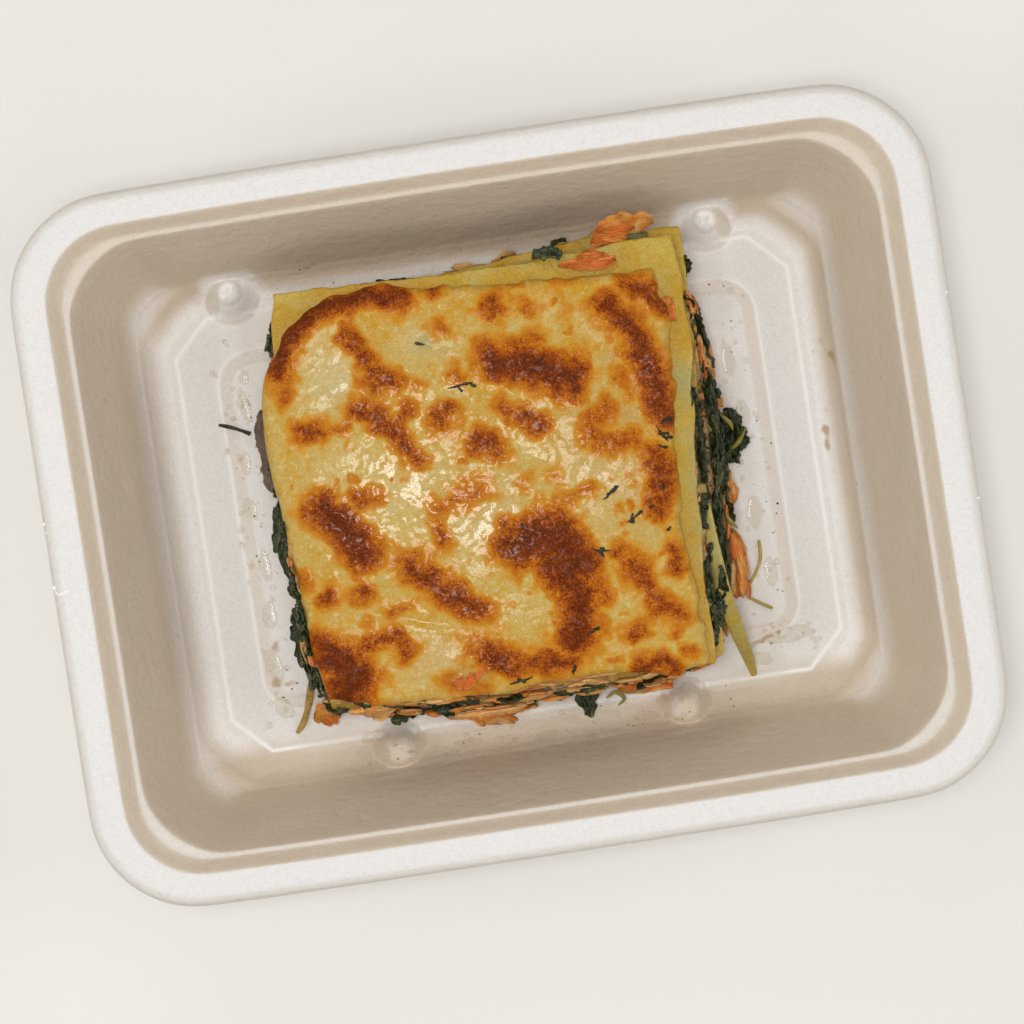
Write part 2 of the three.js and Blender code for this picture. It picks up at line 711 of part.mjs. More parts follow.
// The portion is put together from the tray up. A loose piece gives way to whatever it lies on, and a bit
// that would cross another piece is left out.
const trayRoom = room();
const inTray = (solid) => solid.subtract(trayRoom).volume() < SLIVER;
const clear = (solid, others) => others.every((other) => solid.intersect(other).isEmpty());

const stack = LAYERS.map((l, index) => {
  const solid = layer({ ...l, index });
  return { ...l, index, solid, skin: swollen(solid, GAP) };
});

const loose = [];
for (const piece of LOOSE) {
  const skins = [...stack, ...loose].map((other) => other.skin);
  const solid = largest(cutBy(piece.solid.intersect(trayRoom), skins));
  loose.push({ ...piece, solid, skin: swollen(solid, GAP) });
}

for (const filling of stack.filter(({ look }) => look === "filling")) {
  const skins = [...stack, ...loose].filter((other) => other !== filling).map((other) => other.skin);
  const kept = bits(filling).filter((bit) => inTray(bit) && clear(bit, skins));
  filling.solid = largest(joined(filling.solid, kept));
}
const crust = stack.at(-1);
crust.solid = largest(joined(crust.solid, HERBS.map(herb)));

function meshOf({ name, look, solid }) {
  const mesh = new THREE.Mesh(geometryOf(solid), new THREE.MeshStandardMaterial(COLOURS[look]));
  mesh.name = name;
  return mesh;
}

const portion = new THREE.Group();
portion.name = "portion";
portion.add(...[...stack, ...loose].map(meshOf));

const lasagna = new THREE.Group();
lasagna.name = "salmon_lasagna_in_tray";
lasagna.add(meshOf({ name: "tray", look: "pulp", solid: tray() }), portion);

export default lasagna;
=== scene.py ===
"""A baked portion of salmon and spinach lasagna in a meal tray of moulded pulp.

Sizes are millimetres in the part's frame, and become metres when a mesh is finished.
"""

import itertools
import logging
import math
from dataclasses import dataclass, field
from enum import Enum
from typing import Callable, Sequence

import bmesh
import bpy
import numpy as np
from mathutils import Matrix, Vector
from mathutils.bvhtree import BVHTree

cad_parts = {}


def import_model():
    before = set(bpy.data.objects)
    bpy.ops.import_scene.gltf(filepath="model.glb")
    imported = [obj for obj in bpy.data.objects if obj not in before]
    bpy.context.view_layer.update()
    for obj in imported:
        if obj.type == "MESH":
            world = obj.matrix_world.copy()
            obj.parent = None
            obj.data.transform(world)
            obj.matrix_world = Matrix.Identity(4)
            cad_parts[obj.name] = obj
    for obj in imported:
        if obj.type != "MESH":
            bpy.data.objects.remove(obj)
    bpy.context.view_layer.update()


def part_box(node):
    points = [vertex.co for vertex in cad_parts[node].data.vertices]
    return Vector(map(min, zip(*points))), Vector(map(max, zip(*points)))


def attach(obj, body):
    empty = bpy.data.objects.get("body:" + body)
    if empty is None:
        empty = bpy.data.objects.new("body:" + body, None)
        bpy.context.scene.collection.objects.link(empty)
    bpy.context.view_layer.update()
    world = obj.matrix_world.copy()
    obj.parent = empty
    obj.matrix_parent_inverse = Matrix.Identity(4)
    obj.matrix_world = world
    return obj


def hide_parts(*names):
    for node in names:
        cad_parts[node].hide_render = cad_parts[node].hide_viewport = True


LOG = logging.getLogger("lasagna")
MM = 0.001
SIDE_STEP = 0.02

Points = Array = np.ndarray
Placer = Callable[[Array, Array, Array], Points]
BuildMesh = bmesh.types.BMesh
Mesh = bpy.types.Mesh
Piece = bpy.types.Object
Material = bpy.types.Material
Rows = tuple[tuple[float, ...], ...]


class Slot(Enum):
    """Names of material slots."""

    PULP = "pulp"
    PASTA = "pasta"
    FILLING = "filling"
    CHEESE = "cheese"
    SALMON = "salmon"
    SKIN = "fish_skin"
    SPINACH = "spinach"


def cos_sin(turn: float) -> tuple[float, float]:
    """The cosine and the sine of an angle in degrees."""
    return math.cos(math.radians(turn)), math.sin(math.radians(turn))


# Smooth random values


def lattice_value(cells: Array, seed: int) -> Array:
    """Gives every lattice cell a repeatable value.

    Args:
        cells: Whole numbers, three to a cell.
        seed: Which of many sets of values.

    Returns:
        One value from 0 to 1 a cell.
    """
    mixed = cells[..., 0] * 73856093 ^ cells[..., 1] * 19349663 ^ cells[..., 2] * 83492791
    mixed = (mixed ^ (seed * 26544357)) * 1274126177
    mixed = (mixed ^ (mixed >> 15)) * 7198963
    return ((mixed ^ (mixed >> 17)) & 0xFFFF) / 0xFFFF


def noise(points: Points, size: float, seed: int = 0) -> Array:
    """Smooth noise through space.

    Args:
        points: Places in millimetres, three numbers each.
        size: Distance between neighbouring bumps.
        seed: Which of many patterns.

    Returns:
        One value from -1 to 1 a point.
    """
    scaled = points / size + 17.3 * seed
    low = np.floor(scaled).astype(np.int64)
    part = scaled - low
    part = part**3 * (part * (part * 6 - 15) + 10)
    total = np.zeros(len(points))
    for corner in itertools.product((0, 1), repeat=3):
        weight = np.prod(np.where(corner, part, 1 - part), axis=-1)
        total += weight * lattice_value(low + np.array(corner), seed)
    return 2 * total - 1


TILT = np.array(Matrix.Rotation(0.9, 3, Vector((1, 2, 3))))


def fractal(points: Points, size: float, octaves: int = 3, seed: int = 0) -> Array:
    """Noise with finer and weaker noise on it.

    Args:
        points: Places in millimetres.
        size: Distance between the largest bumps.
        octaves: How many sizes of bump there are.
        seed: Which of many patterns.

    Returns:
        One value from about -1 to 1 a point.
    """
    total = np.zeros(len(points))
    turned = points
    for octave in range(octaves):
        total += 0.5**octave * noise(turned, size / 2**octave, seed + 31 * octave)
        turned = turned @ TILT
    return total / (2 - 0.5 ** (octaves - 1))


def along(values: Sequence[float], t: Array) -> Array:
    """Reads a smooth curve through evenly spaced values.

    Args:
        values: The values, two or more.
        t: Where to read, from -1 to 1.

    Returns:
        The curve's values at t.
    """
    knots = np.asarray(values, float)
    place = np.clip((t + 1) / 2, 0, 1) * (len(knots) - 1)
    i = np.minimum(place.astype(int), len(knots) - 2)
    s = place - i
    a, b, c, d = (knots[np.clip(i + k, 0, len(knots) - 1)] for k in (-1, 0, 1, 2))
    return b + 0.5 * s * (c - a + s * (2 * a - 5 * b + 4 * c - d + s * (3 * (b - c) + d - a)))


def smoothstep(low: float, high: float, value: Array) -> Array:
    """Rises smoothly from 0 at low to 1 at high."""
    share = np.clip((value - low) / (high - low), 0, 1)
    return share * share * (3 - 2 * share)


# Meshes


def poured(part: BuildMesh, whole: BuildMesh, paint: dict[str, Array]) -> None:
    """Adds a finished part to a larger mesh.

    Args:
        part: The part, which is freed.
        whole: The mesh that takes it in.
        paint: Point attributes of the part.
    """
    mesh = bpy.data.meshes.new("part")
    part.to_mesh(mesh)
    part.free()
    for name, values in paint.items():
        paint_points(mesh, name, values)
    whole.from_mesh(mesh)
    bpy.data.meshes.remove(mesh)


def add_block(
    whole: BuildMesh,
    columns: int,
    rows: int,
    tiers: int,
    place: Placer,
    painters: dict[str, Placer] | None = None,
) -> None:
    """Adds a closed slab that is drawn out from a grid.

    Args:
        whole: The mesh that it goes into.
        columns: Faces along u.
        rows: Faces along v.
        tiers: Faces up each side.
        place: Turns u and v, from -1 to 1, and w, from 0 below to 1 above, into places.
        painters: Point attributes, each worked out from u, v and w.
    """
    bm = bmesh.new()
    bmesh.ops.create_grid(bm, x_segments=columns, y_segments=rows, size=1)
    grown = bmesh.ops.extrude_face_region(bm, geom=bm.faces[:], use_keep_orig=True)["geom"]
    for vert in grown:
        if isinstance(vert, bmesh.types.BMVert):
            vert.co.z = 1
    if tiers > 1:
        uprights = [edge for edge in bm.edges if abs(edge.verts[0].co.z - edge.verts[1].co.z) > 0.5]
        bmesh.ops.subdivide_edges(bm, edges=uprights, cuts=tiers - 1)
    u, v, w = np.array([vert.co for vert in bm.verts]).T
    for vert, spot in zip(bm.verts, place(u, v, w)):
        vert.co = spot
    poured(bm, whole, {name: painter(u, v, w) for name, painter in (painters or {}).items()})


def drawn_out(bm: BuildMesh, ring: Sequence[bmesh.types.BMEdge]) -> tuple[list, list]:
    """Draws a ring of edges out.

    Args:
        bm: The mesh.
        ring: Its open edges.

    Returns:
        The new ring's points and edges.
    """
    grown = bmesh.ops.extrude_edge_only(bm, edges=ring)["geom"]
    edges = [item for item in grown if isinstance(item, bmesh.types.BMEdge) and item.is_boundary]
    return [item for item in grown if isinstance(item, bmesh.types.BMVert)], edges


def add_tube(
    whole: BuildMesh,
    route: Sequence[Sequence[float]],
    widths: Sequence[float],
    flatness: float = 1.0,
    sides: int = 6,
    steps: int = 12,
    paint: dict[str, float] | None = None,
) -> None:
    """Adds a tapering stem or strip along a smooth route.

    Args:
        whole: The mesh that it goes into.
        route: Places that it runs through.
        widths: Its widths at even distances along the route.
        flatness: Its thickness as a share of its width.
        sides: Faces round it.
        steps: Faces along it.
        paint: Point attributes with one value for the whole of it.
    """
    t = np.linspace(-1, 1, steps + 1)
    spine = np.stack([along([p[axis] for p in route], t) for axis in range(3)], axis=1)
    width = along(widths, t)
    forward = np.gradient(spine, axis=0)
    forward /= np.linalg.norm(forward, axis=1, keepdims=True)
    across = np.cross(forward, (0, 0, 1.0))
    across /= np.maximum(np.linalg.norm(across, axis=1, keepdims=True), 1e-6)
    upward = np.cross(across, forward)
    bm = bmesh.new()
    bmesh.ops.create_circle(bm, segments=sides, radius=1, cap_ends=True)
    edges = bm.edges[:]
    for step in range(1, steps + 1):
        fresh, edges = drawn_out(bm, edges)
        for vert in fresh:
            vert.co.z = step
    bmesh.ops.contextual_create(bm, geom=edges)
    for vert in bm.verts:
        step = round(vert.co.z)
        x, y = vert.co.x, vert.co.y
        side = x * across[step] + flatness * y * upward[step]
        vert.co = spine[step] + 0.5 * width[step] * side
    count = len(bm.verts)
    poured(bm, whole, {name: np.full(count, value) for name, value in (paint or {}).items()})


def mesh_of(bm: BuildMesh, name: str) -> Mesh:
    """Turns a finished bmesh in millimetres into a mesh in metres.

    Args:
        bm: The bmesh, which is freed.
        name: The mesh's name.

    Returns:
        The mesh.
    """
    bmesh.ops.recalc_face_normals(bm, faces=bm.faces[:])
    bmesh.ops.scale(bm, vec=(MM, MM, MM), verts=bm.verts[:])
    mesh = bpy.data.meshes.new(name)
    bm.to_mesh(mesh)
    bm.free()
    mesh.polygons.foreach_set("use_smooth", [True] * len(mesh.polygons))
    return mesh


def places_of(mesh: Mesh) -> Points:
    """Reads a mesh's points, in millimetres."""
    flat = np.empty(3 * len(mesh.vertices), np.float32)
    mesh.vertices.foreach_get("co", flat)
    return flat.reshape(-1, 3).astype(float) / MM


def normals_of(mesh: Mesh) -> Points:
    """Reads the directions that a mesh's points face."""
    flat = np.empty(3 * len(mesh.vertices), np.float32)
    mesh.vertex_normals.foreach_get("vector", flat)
    return flat.reshape(-1, 3).astype(float)


def move_points(mesh: Mesh, points: Points) -> None:
    """Gives a mesh's points new places, in millimetres."""
    mesh.vertices.foreach_set("co", (points * MM).astype(np.float32).ravel())
    mesh.update()


def paint_points(mesh: Mesh, name: str, values: Array) -> None:
    """Stores one value a point as an attribute that a finish can read."""
    layer = mesh.attributes.get(name) or mesh.attributes.new(name, "FLOAT", "POINT")
    layer.data.foreach_set("value", values.astype(np.float32))


def settled(piece: Piece) -> Piece:
    """Applies a piece's modifiers.

    Args:
        piece: The object, with live modifiers.

    Returns:
        The same object without them.
    """
    bpy.context.view_layer.update()
    shown = piece.evaluated_get(bpy.context.evaluated_depsgraph_get())
    mesh = bpy.data.meshes.new_from_object(shown)
    piece.modifiers.clear()
    piece.data = mesh
    return piece


def rounded(piece: Piece, levels: int) -> Piece:
    """Puts a live Subdivision Surface on a piece.

    Args:
        piece: The object.
        levels: How often each face is split.

    Returns:
        The same object.
    """
    smooth = piece.modifiers.new("rounding", "SUBSURF")
    smooth.levels = levels
    smooth.render_levels = levels
    return piece


# Materials


def joining(operation: str, reflected: bool = False) -> Callable[["Term", "Term | float"], "Term"]:
    """Makes an operator that joins two values with a Math node.

    Args:
        operation: What the node does.
        reflected: Whether the other value comes first.

    Returns:
        The operator.
    """
    def joined(self: "Term", other: "Term | float") -> "Term":
        """Adds the node."""
        first, second = (other, self) if reflected else (self, other)
        return self.recipe.node("ShaderNodeMath", {"operation": operation}, {0: first, 1: second})

    return joined


class Term:
    """A socket of a material that can be used in sums."""

    __add__, __radd__ = joining("ADD"), joining("ADD", True)
    __sub__, __rsub__ = joining("SUBTRACT"), joining("SUBTRACT", True)
    __mul__, __rmul__ = joining("MULTIPLY"), joining("MULTIPLY", True)

    def __init__(self, recipe: "Recipe", socket: bpy.types.NodeSocket) -> None:
        """Wraps a socket of a recipe."""
        self.recipe = recipe
        self.socket = socket

    def sine(self) -> "Term":
        """The sine of this value."""
        return self.recipe.node("ShaderNodeMath", {"operation": "SINE"}, {0: self})

    def between(self, low: float, high: float) -> "Term":
        """How far this value is from low to high, smoothly from 0 to 1."""
        settings = {"interpolation_type": "SMOOTHSTEP"}
        inputs = {"Value": self, "From Min": low, "From Max": high}
        return self.recipe.node("ShaderNodeMapRange", settings, inputs)


Colour = tuple[float, float, float]


def srgb(red: int, green: int, blue: int) -> Colour:
    """Turns a screen colour into the linear one that materials use."""
    def linear(value: float) -> float:
        """Undoes the screen's curve for one channel."""
        return value / 12.92 if value <= 0.04045 else ((value + 0.055) / 1.055) ** 2.4

    return linear(red / 255), linear(green / 255), linear(blue / 255)


class Recipe:
    """A material that is being put together round one Principled shader."""

    def __init__(self, name: str) -> None:
        """Makes the material with a shader and object coordinates."""
        self.material = bpy.data.materials.new(name)
        self.material.use_nodes = True
        self.tree = self.material.node_tree
        self.shader = self.tree.nodes["Principled BSDF"]
        self.place = self.node("ShaderNodeTexCoord", output="Object")

    def node(
        self,
        kind: str,
        settings: dict[str, object] | None = None,
        inputs: dict[int | str, object] | None = None,
        output: int | str = 0,
    ) -> Term:
        """Adds one node.

        Args:
            kind: The node's type.
            settings: Its settings, such as an operation or a ramp's stops, which are set first.
            inputs: Values or links of its sockets.
            output: The output to use.

        Returns:
            That output.
        """
        made = self.tree.nodes.new(kind)
        for key, value in (settings or {}).items():
            if key == "stops":
                self._set_stops(made.color_ramp, value)
            else:
                setattr(made, key, value)
        for key, value in (inputs or {}).items():
            self.feed(made.inputs[key], value)
        return Term(self, made.outputs[output])

    def _set_stops(self, ramp: bpy.types.ColorRamp, stops: Sequence[tuple[float, Colour]]) -> None:
        """Gives a colour ramp its stops."""
        while len(ramp.elements) < len(stops):
            ramp.elements.new(1.0)
        for element, (place, colour) in zip(ramp.elements, stops):
            element.position = place
            element.color = (*colour, 1.0)

    def feed(self, socket: bpy.types.NodeSocket, value: object) -> None:
        """Links a term to a socket, or sets a number or a colour on it."""
        if isinstance(value, Term):
            self.tree.links.new(value.socket, socket)
        elif isinstance(value, tuple) and socket.type == "RGBA":
            socket.default_value = (*value, 1.0)
        else:
            socket.default_value = value

    def noise(self, size: float, detail: float = 2.0, rough: float = 0.5, warp: float = 0.0) -> Term:
        """Noise with bumps of a size in millimetres, from 0 to 1."""
        inputs = {"Vector": self.place, "Scale": 1 / (size * MM), "Detail": detail, "Roughness": rough}
        return self.node("ShaderNodeTexNoise", inputs={**inputs, "Distortion": warp})

    def cells(self, size: float) -> Term:
        """Distances in a pattern of cells of a size in millimetres."""
        inputs = {"Vector": self.place, "Scale": 1 / (size * MM)}
        return self.node("ShaderNodeTexVoronoi", {}, inputs, "Distance")

    def ramp(self, value: Term, stops: Sequence[tuple[float, Colour]]) -> Term:
        """Colours a value from 0 to 1."""
        return self.node("ShaderNodeValToRGB", {"stops": stops}, {"Fac": value})

    def mix(self, share: Term | float, first: Term | Colour, second: Term | Colour) -> Term:
        """Blends two colours, the second by its share."""
        inputs = {"Factor": share, 6: first, 7: second}
        return self.node("ShaderNodeMix", {"data_type": "RGBA"}, inputs, 2)

    def painted(self, name: str) -> Term:
        """Reads a point attribute."""
        return self.node("ShaderNodeAttribute", {"attribute_name": name}, output="Fac")

    def bump(self, height: Term, depth: float, under: Term | None = None) -> Term:
        """Turns heights from 0 to 1 into relief of a depth in millimetres."""
        inputs: dict[int | str, object] = {"Height": height, "Distance": depth * MM, "Strength": 1.0}
        if under is not None:
            inputs["Normal"] = under
        return self.node("ShaderNodeBump", inputs=inputs, output="Normal")

    def dress(self, **sockets: object) -> Material:
        """Feeds the shader's sockets, named with _ for a space.

        Args:
            sockets: Values or links by socket name.

        Returns:
            The finished material.
        """
        for name, value in sockets.items():
            self.feed(self.shader.inputs[name.replace("_", " ")], value)
        return self.material


@dataclass(frozen=True)
class PulpFinish:
    """Matt moulded pulp, whiter on the rim and floor than on the walls, where its tan is its own tint
    together with painted shade; with more painted shade on the rim, lip, floor and stub tops, a painted
    highlight along the floor's edges, and greyer where it is wet.
    """

    white: Colour = srgb(245, 243, 240)
    # The next colour is painted shade for the rim's top, the lip, the flat floor and the stubs' tops.
    grey: Colour = srgb(222, 220, 217)
    # The next colour is a painted highlight: a bright line along the floor's border and the panel's edge.
    edge_highlight: Colour = srgb(255, 254, 252)
    # The next colour is the pulp's own tan together with painted shade, laid on walls and slopes.
    tan_and_shade: Colour = srgb(210, 195, 174)
    fibre: Colour = srgb(160, 142, 118)
    wet: Colour = srgb(200, 190, 174)
    stain: Colour = srgb(176, 140, 92)
    roughness: float = 0.62
    wet_roughness: float = 0.28
    grain: float = 0.7
    fleck: float = 7.0

    def make(self) -> Material:
        """Makes the material."""
        r = Recipe("moulded_pulp")
        mottle = r.noise(14.0, 4.0, 0.6)
        fibres = r.noise(self.grain, 3.0, 0.7, 1.6)
        # Painted shade: a greyer rim top, lip, flat floor and stub tops.
        colour = r.mix(r.painted("grey"), self.white, self.grey)
        # Tan on walls and slopes: the pulp's own tint together with painted shade.
        colour = r.mix(r.painted("tan_and_shade_share") * (0.86 + 0.28 * mottle), colour, self.tan_and_shade)
        colour = r.mix(0.2 * fibres.between(0.42, 0.68), colour, self.fibre)
        # Painted highlight along the floor's border and the panel's edge.
        colour = r.mix(0.8 * r.painted("edge_highlight"), colour, self.edge_highlight)
        wet = (r.painted("wet") * (0.5 + mottle)).between(0.25, 0.85)
        colour = r.mix(0.4 * wet, colour, self.wet)
        stain = (r.painted("stain") + 0.5 * (r.noise(1.6, 3.0, 0.6) - 0.5)).between(0.3, 0.8)
        colour = r.mix(0.75 * stain, colour, self.stain)
        specks = (0.06 - r.cells(self.fleck)).between(0.0, 0.02)
        colour = r.mix(0.6 * specks * r.noise(30.0, 1.0).between(0.5, 0.7), colour, self.fibre)
        roughness = self.roughness + (self.wet_roughness - self.roughness) * wet
        relief = r.bump(r.noise(0.55, 4.0, 0.7, 0.8), 0.12, r.bump(r.noise(3.5, 4.0, 0.6), 0.42))
        return r.dress(Base_Color=colour, Roughness=roughness, Normal=relief, Specular_IOR_Level=0.4)


@dataclass(frozen=True)
class CheeseFinish:
    """Melted cheese over white sauce: cream with golden edges round brown patches, an oily shine, and whiter
    areas and specks that are partly painted sheen and glints.
    """

    cream: Colour = srgb(196, 164, 84)
    butter: Colour = srgb(194, 146, 40)
    # The next colour is white sauce, and also painted sheen and painted glints.
    white_sauce_and_sheen: Colour = srgb(208, 188, 134)
    leafy: Colour = srgb(150, 138, 78)
    flush: Colour = srgb(180, 136, 98)
    halo: Colour = srgb(200, 142, 40)
    golden: Colour = srgb(188, 112, 18)
    amber: Colour = srgb(166, 84, 10)
    brown: Colour = srgb(130, 56, 6)
    dark: Colour = srgb(92, 34, 4)
    blister: Colour = srgb(172, 98, 26)
    roughness: float = 0.5
    coat: float = 0.04

    def make(self) -> Material:
        """Makes the material."""
        r = Recipe("baked_cheese")
        mottle = r.noise(1.8, 4.0, 0.65, 0.6)
        grain = r.noise(0.55, 3.0, 0.7).between(0.36, 0.64)
        painted = r.painted("browning")
        inside = painted.between(0.25, 0.6)
        spread = (0.3 + 0.8 * inside) * (mottle - 0.5) + (0.06 + 0.24 * inside) * (grain - 0.5)
        browning = painted + spread * painted.between(0.0, 0.2)
        blotch = r.noise(7.0, 5.0, 0.65, 0.8)
        butter = (r.painted("butter") + blotch.between(0.46, 0.66)).between(0.0, 1.3)
        base = r.mix(butter, self.cream, self.butter)
        # White sauce showing through, and painted sheen where the cheese shines.
        base = r.mix(r.painted("white_sauce_and_sheen"), base, self.white_sauce_and_sheen)
        # White specks are painted glints; yellow specks are the cheese's own mottling.
        speckle = r.noise(1.1, 4.0, 0.7, 0.8)
        base = r.mix(0.8 * speckle.between(0.5, 0.68), base, self.white_sauce_and_sheen)
        base = r.mix(0.55 * (1 - speckle).between(0.5, 0.7), base, self.butter)
        base = r.mix(0.5 * r.painted("flush"), base, self.flush)
        base = r.mix(0.7 * r.painted("leafy"), base, self.leafy)
        stops = [(0.0, self.halo), (0.2, self.golden), (0.48, self.amber), (0.76, self.brown),
                 (1.0, self.dark)]
        baked = r.ramp(browning.between(0.08, 1.12), stops)
        blisters = r.noise(0.9, 3.0, 0.7, 0.6).between(0.54, 0.7)
        baked = r.mix(0.34 * inside * blisters, baked, self.blister)
        colour = r.mix(browning.between(0.03, 0.26), base, baked)
        roughness = self.roughness + 0.08 * inside - 0.28 * r.painted("gloss") + 0.14 * (grain - 0.5)
        crinkle = r.bump(r.noise(1.5, 5.0, 0.65, 1.4), 0.4)
        relief = r.bump(r.noise(0.6, 3.0, 0.6), 0.3, crinkle)
        return r.dress(
            Base_Color=colour,
            Roughness=roughness,
            Normal=relief,
            Specular_IOR_Level=0.1,
            Coat_Weight=(self.coat + 0.36 * r.painted("gloss")) * (1 - 0.4 * inside),
            Coat_Roughness=0.13,
            Subsurface_Weight=0.1,
            Subsurface_Radius=(1.0, 0.6, 0.3),
            Subsurface_Scale=0.001,
        )


@dataclass(frozen=True)
class PastaFinish:
    """Boiled and baked pasta: moist, pale yellow and slightly translucent."""

    yellow: Colour = srgb(184, 148, 42)
    ochre: Colour = srgb(180, 134, 30)
    pale: Colour = srgb(190, 168, 78)
    green: Colour = srgb(166, 154, 88)
    speck: Colour = srgb(146, 92, 30)
    roughness: float = 0.26

    def make(self) -> Material:
        """Makes the material."""
        r = Recipe("boiled_pasta")
        patch = r.noise(9.0, 4.0, 0.6, 0.4)
        cloud = r.noise(3.5, 4.0, 0.65, 0.5)
        colour = r.mix(patch.between(0.35, 0.65), self.yellow, self.pale)
        colour = r.mix(r.painted("tone") * (0.5 + cloud), colour, self.ochre)
        green = (r.painted("green") + 0.9 * (cloud - 0.5) + 0.9 * (patch - 0.5)).between(0.1, 0.9)
        colour = r.mix(green, colour, self.green)
        specks = r.noise(1.0, 4.0, 0.75).between(0.6, 0.7)
        colour = r.mix(0.7 * specks * patch.between(0.4, 0.6), colour, self.speck)
        blisters = r.bump(r.noise(1.7, 3.0, 0.6, 0.5), 0.7, r.bump(r.noise(5.0, 3.0, 0.6), 0.9))
        relief = r.bump(r.noise(0.6, 3.0, 0.7, 0.6), 0.1, blisters)
        return r.dress(
            Base_Color=colour,
            Roughness=self.roughness + 0.25 * (cloud - 0.5),
            Normal=relief,
            Specular_IOR_Level=0.25,
            Coat_Weight=0.5 * patch.between(0.38, 0.6),
            Coat_Roughness=0.14,
            Subsurface_Weight=0.2,
            Subsurface_Radius=(1.0, 0.8, 0.35),
            Subsurface_Scale=0.0015,
        )


@dataclass(frozen=True)
class FillingFinish:
    """White sauce, fish and spinach pressed together."""

    sauce: Colour = srgb(214, 190, 142)
    fish: Colour = srgb(216, 142, 82)
    leaf: Colour = srgb(50, 54, 26)
    roughness: float = 0.35

    def make(self) -> Material:
        """Makes the material."""
        r = Recipe("pressed_filling")
        lumps = r.noise(4.0, 5.0, 0.65, 0.6)
        greens = r.noise(2.8, 5.0, 0.7, 1.0)
        colour = r.mix(lumps.between(0.36, 0.6), self.sauce, self.fish)
        colour = r.mix(0.9 * greens.between(0.44, 0.6), colour, self.leaf)
        relief = r.bump(r.noise(1.6, 4.0, 0.7), 0.8)
        return r.dress(Base_Color=colour, Roughness=self.roughness, Normal=relief, Specular_IOR_Level=0.3)


@dataclass(frozen=True)
class SalmonFinish:
    """Cooked salmon in leaves, deep orange inside and pinkish beige where it met the heat."""

    orange: Colour = srgb(250, 150, 40)
    deep: Colour = srgb(238, 108, 8)
    beige: Colour = srgb(242, 184, 110)
    brown: Colour = srgb(176, 98, 34)
    seam: Colour = srgb(254, 210, 148)
    scorch: Colour = srgb(70, 40, 20)
    roughness: float = 0.38

    def make(self) -> Material:
        """Makes the material."""
        r = Recipe("cooked_salmon")
        tone = r.painted("tone") + 0.7 * (r.noise(4.0, 3.0, 0.6) - 0.5)
        stops = [(0.0, self.beige), (0.35, self.beige), (0.6, self.orange), (1.0, self.deep)]
        colour = r.ramp(tone, stops)
        colour = r.mix(0.5 * r.noise(2.6, 4.0, 0.65, 0.8).between(0.56, 0.72), colour, self.brown)
        strands = ((r.painted("strand") + 0.5 * (r.noise(1.8, 2.0) - 0.5)) * (2 * math.pi)).sine()
        colour = r.mix(0.28 * strands.between(0.1, 1.0), colour, self.seam)
        colour = r.mix(0.22 * strands.between(-0.2, -1.0), colour, self.brown)
        colour = r.mix(0.4 * r.painted("seam"), colour, self.seam)
        scorch = (r.noise(1.5, 4.0, 0.7, 0.5)).between(0.62, 0.72)
        colour = r.mix(0.7 * scorch * r.noise(7.0, 2.0).between(0.45, 0.65), colour, self.scorch)
        fibre = r.bump(0.5 + 0.5 * strands, 0.22, r.bump(r.noise(0.8, 4.0, 0.68, 1.5), 0.35))
        return r.dress(
            Base_Color=colour,
            Roughness=self.roughness + 0.3 * (r.noise(2.0, 2.0) - 0.5),
            Normal=fibre,
            Specular_IOR_Level=0.22,
            Subsurface_Weight=0.15,
            Subsurface_Radius=(1.0, 0.45, 0.2),
            Subsurface_Scale=0.0015,
        )


@dataclass(frozen=True)
class SkinFinish:
    """Cooked fish skin, dark grey-brown with a silvery bloom."""

    brown: Colour = srgb(78, 52, 32)
    grey: Colour = srgb(112, 84, 58)

    def make(self) -> Material:
        """Makes the material."""
        r = Recipe("fish_skin")
        colour = r.mix(r.noise(3.0, 4.0, 0.65, 0.5).between(0.4, 0.65), self.brown, self.grey)
        relief = r.bump(r.noise(1.1, 4.0, 0.7), 0.3)
        return r.dress(Base_Color=colour, Roughness=0.4, Normal=relief, Specular_IOR_Level=0.35)


@dataclass(frozen=True)
class LeafFinish:
    """Wilted spinach or herbs, dark green and wet, with paler stalks."""

    name: str = "wilted_spinach"
    green: Colour = srgb(54, 64, 28)
    dark: Colour = srgb(26, 34, 17)
    light: Colour = srgb(104, 108, 44)
    stalk: Colour = srgb(146, 134, 58)
    roughness: float = 0.26

    def make(self) -> Material:
        """Makes the material."""
        r = Recipe(self.name)
        patch = r.noise(3.2, 4.0, 0.65, 0.5)
        colour = r.mix(r.noise(1.4, 4.0, 0.65).between(0.38, 0.62), self.dark, self.green)
        colour = r.mix(0.7 * patch.between(0.56, 0.68), colour, self.light)
        colour = r.mix(r.painted("stalk") * (0.6 + 0.7 * patch), colour, self.stalk)
        relief = r.bump(r.noise(0.7, 4.0, 0.7, 0.8), 0.3)
        return r.dress(Base_Color=colour, Roughness=self.roughness, Normal=relief, Specular_IOR_Level=0.45)


@dataclass(frozen=True)
class JuiceFinish:
    """A thin clear film of oil and cooking juice."""

    name: str = "oil"
    colour: Colour = srgb(222, 208, 178)
    alpha: float = 0.2
    roughness: float = 0.06

    def make(self) -> Material:
        """Makes the material."""
        r = Recipe(self.name)
        return r.dress(Base_Color=self.colour, Roughness=self.roughness, Alpha=self.alpha, IOR=1.45)


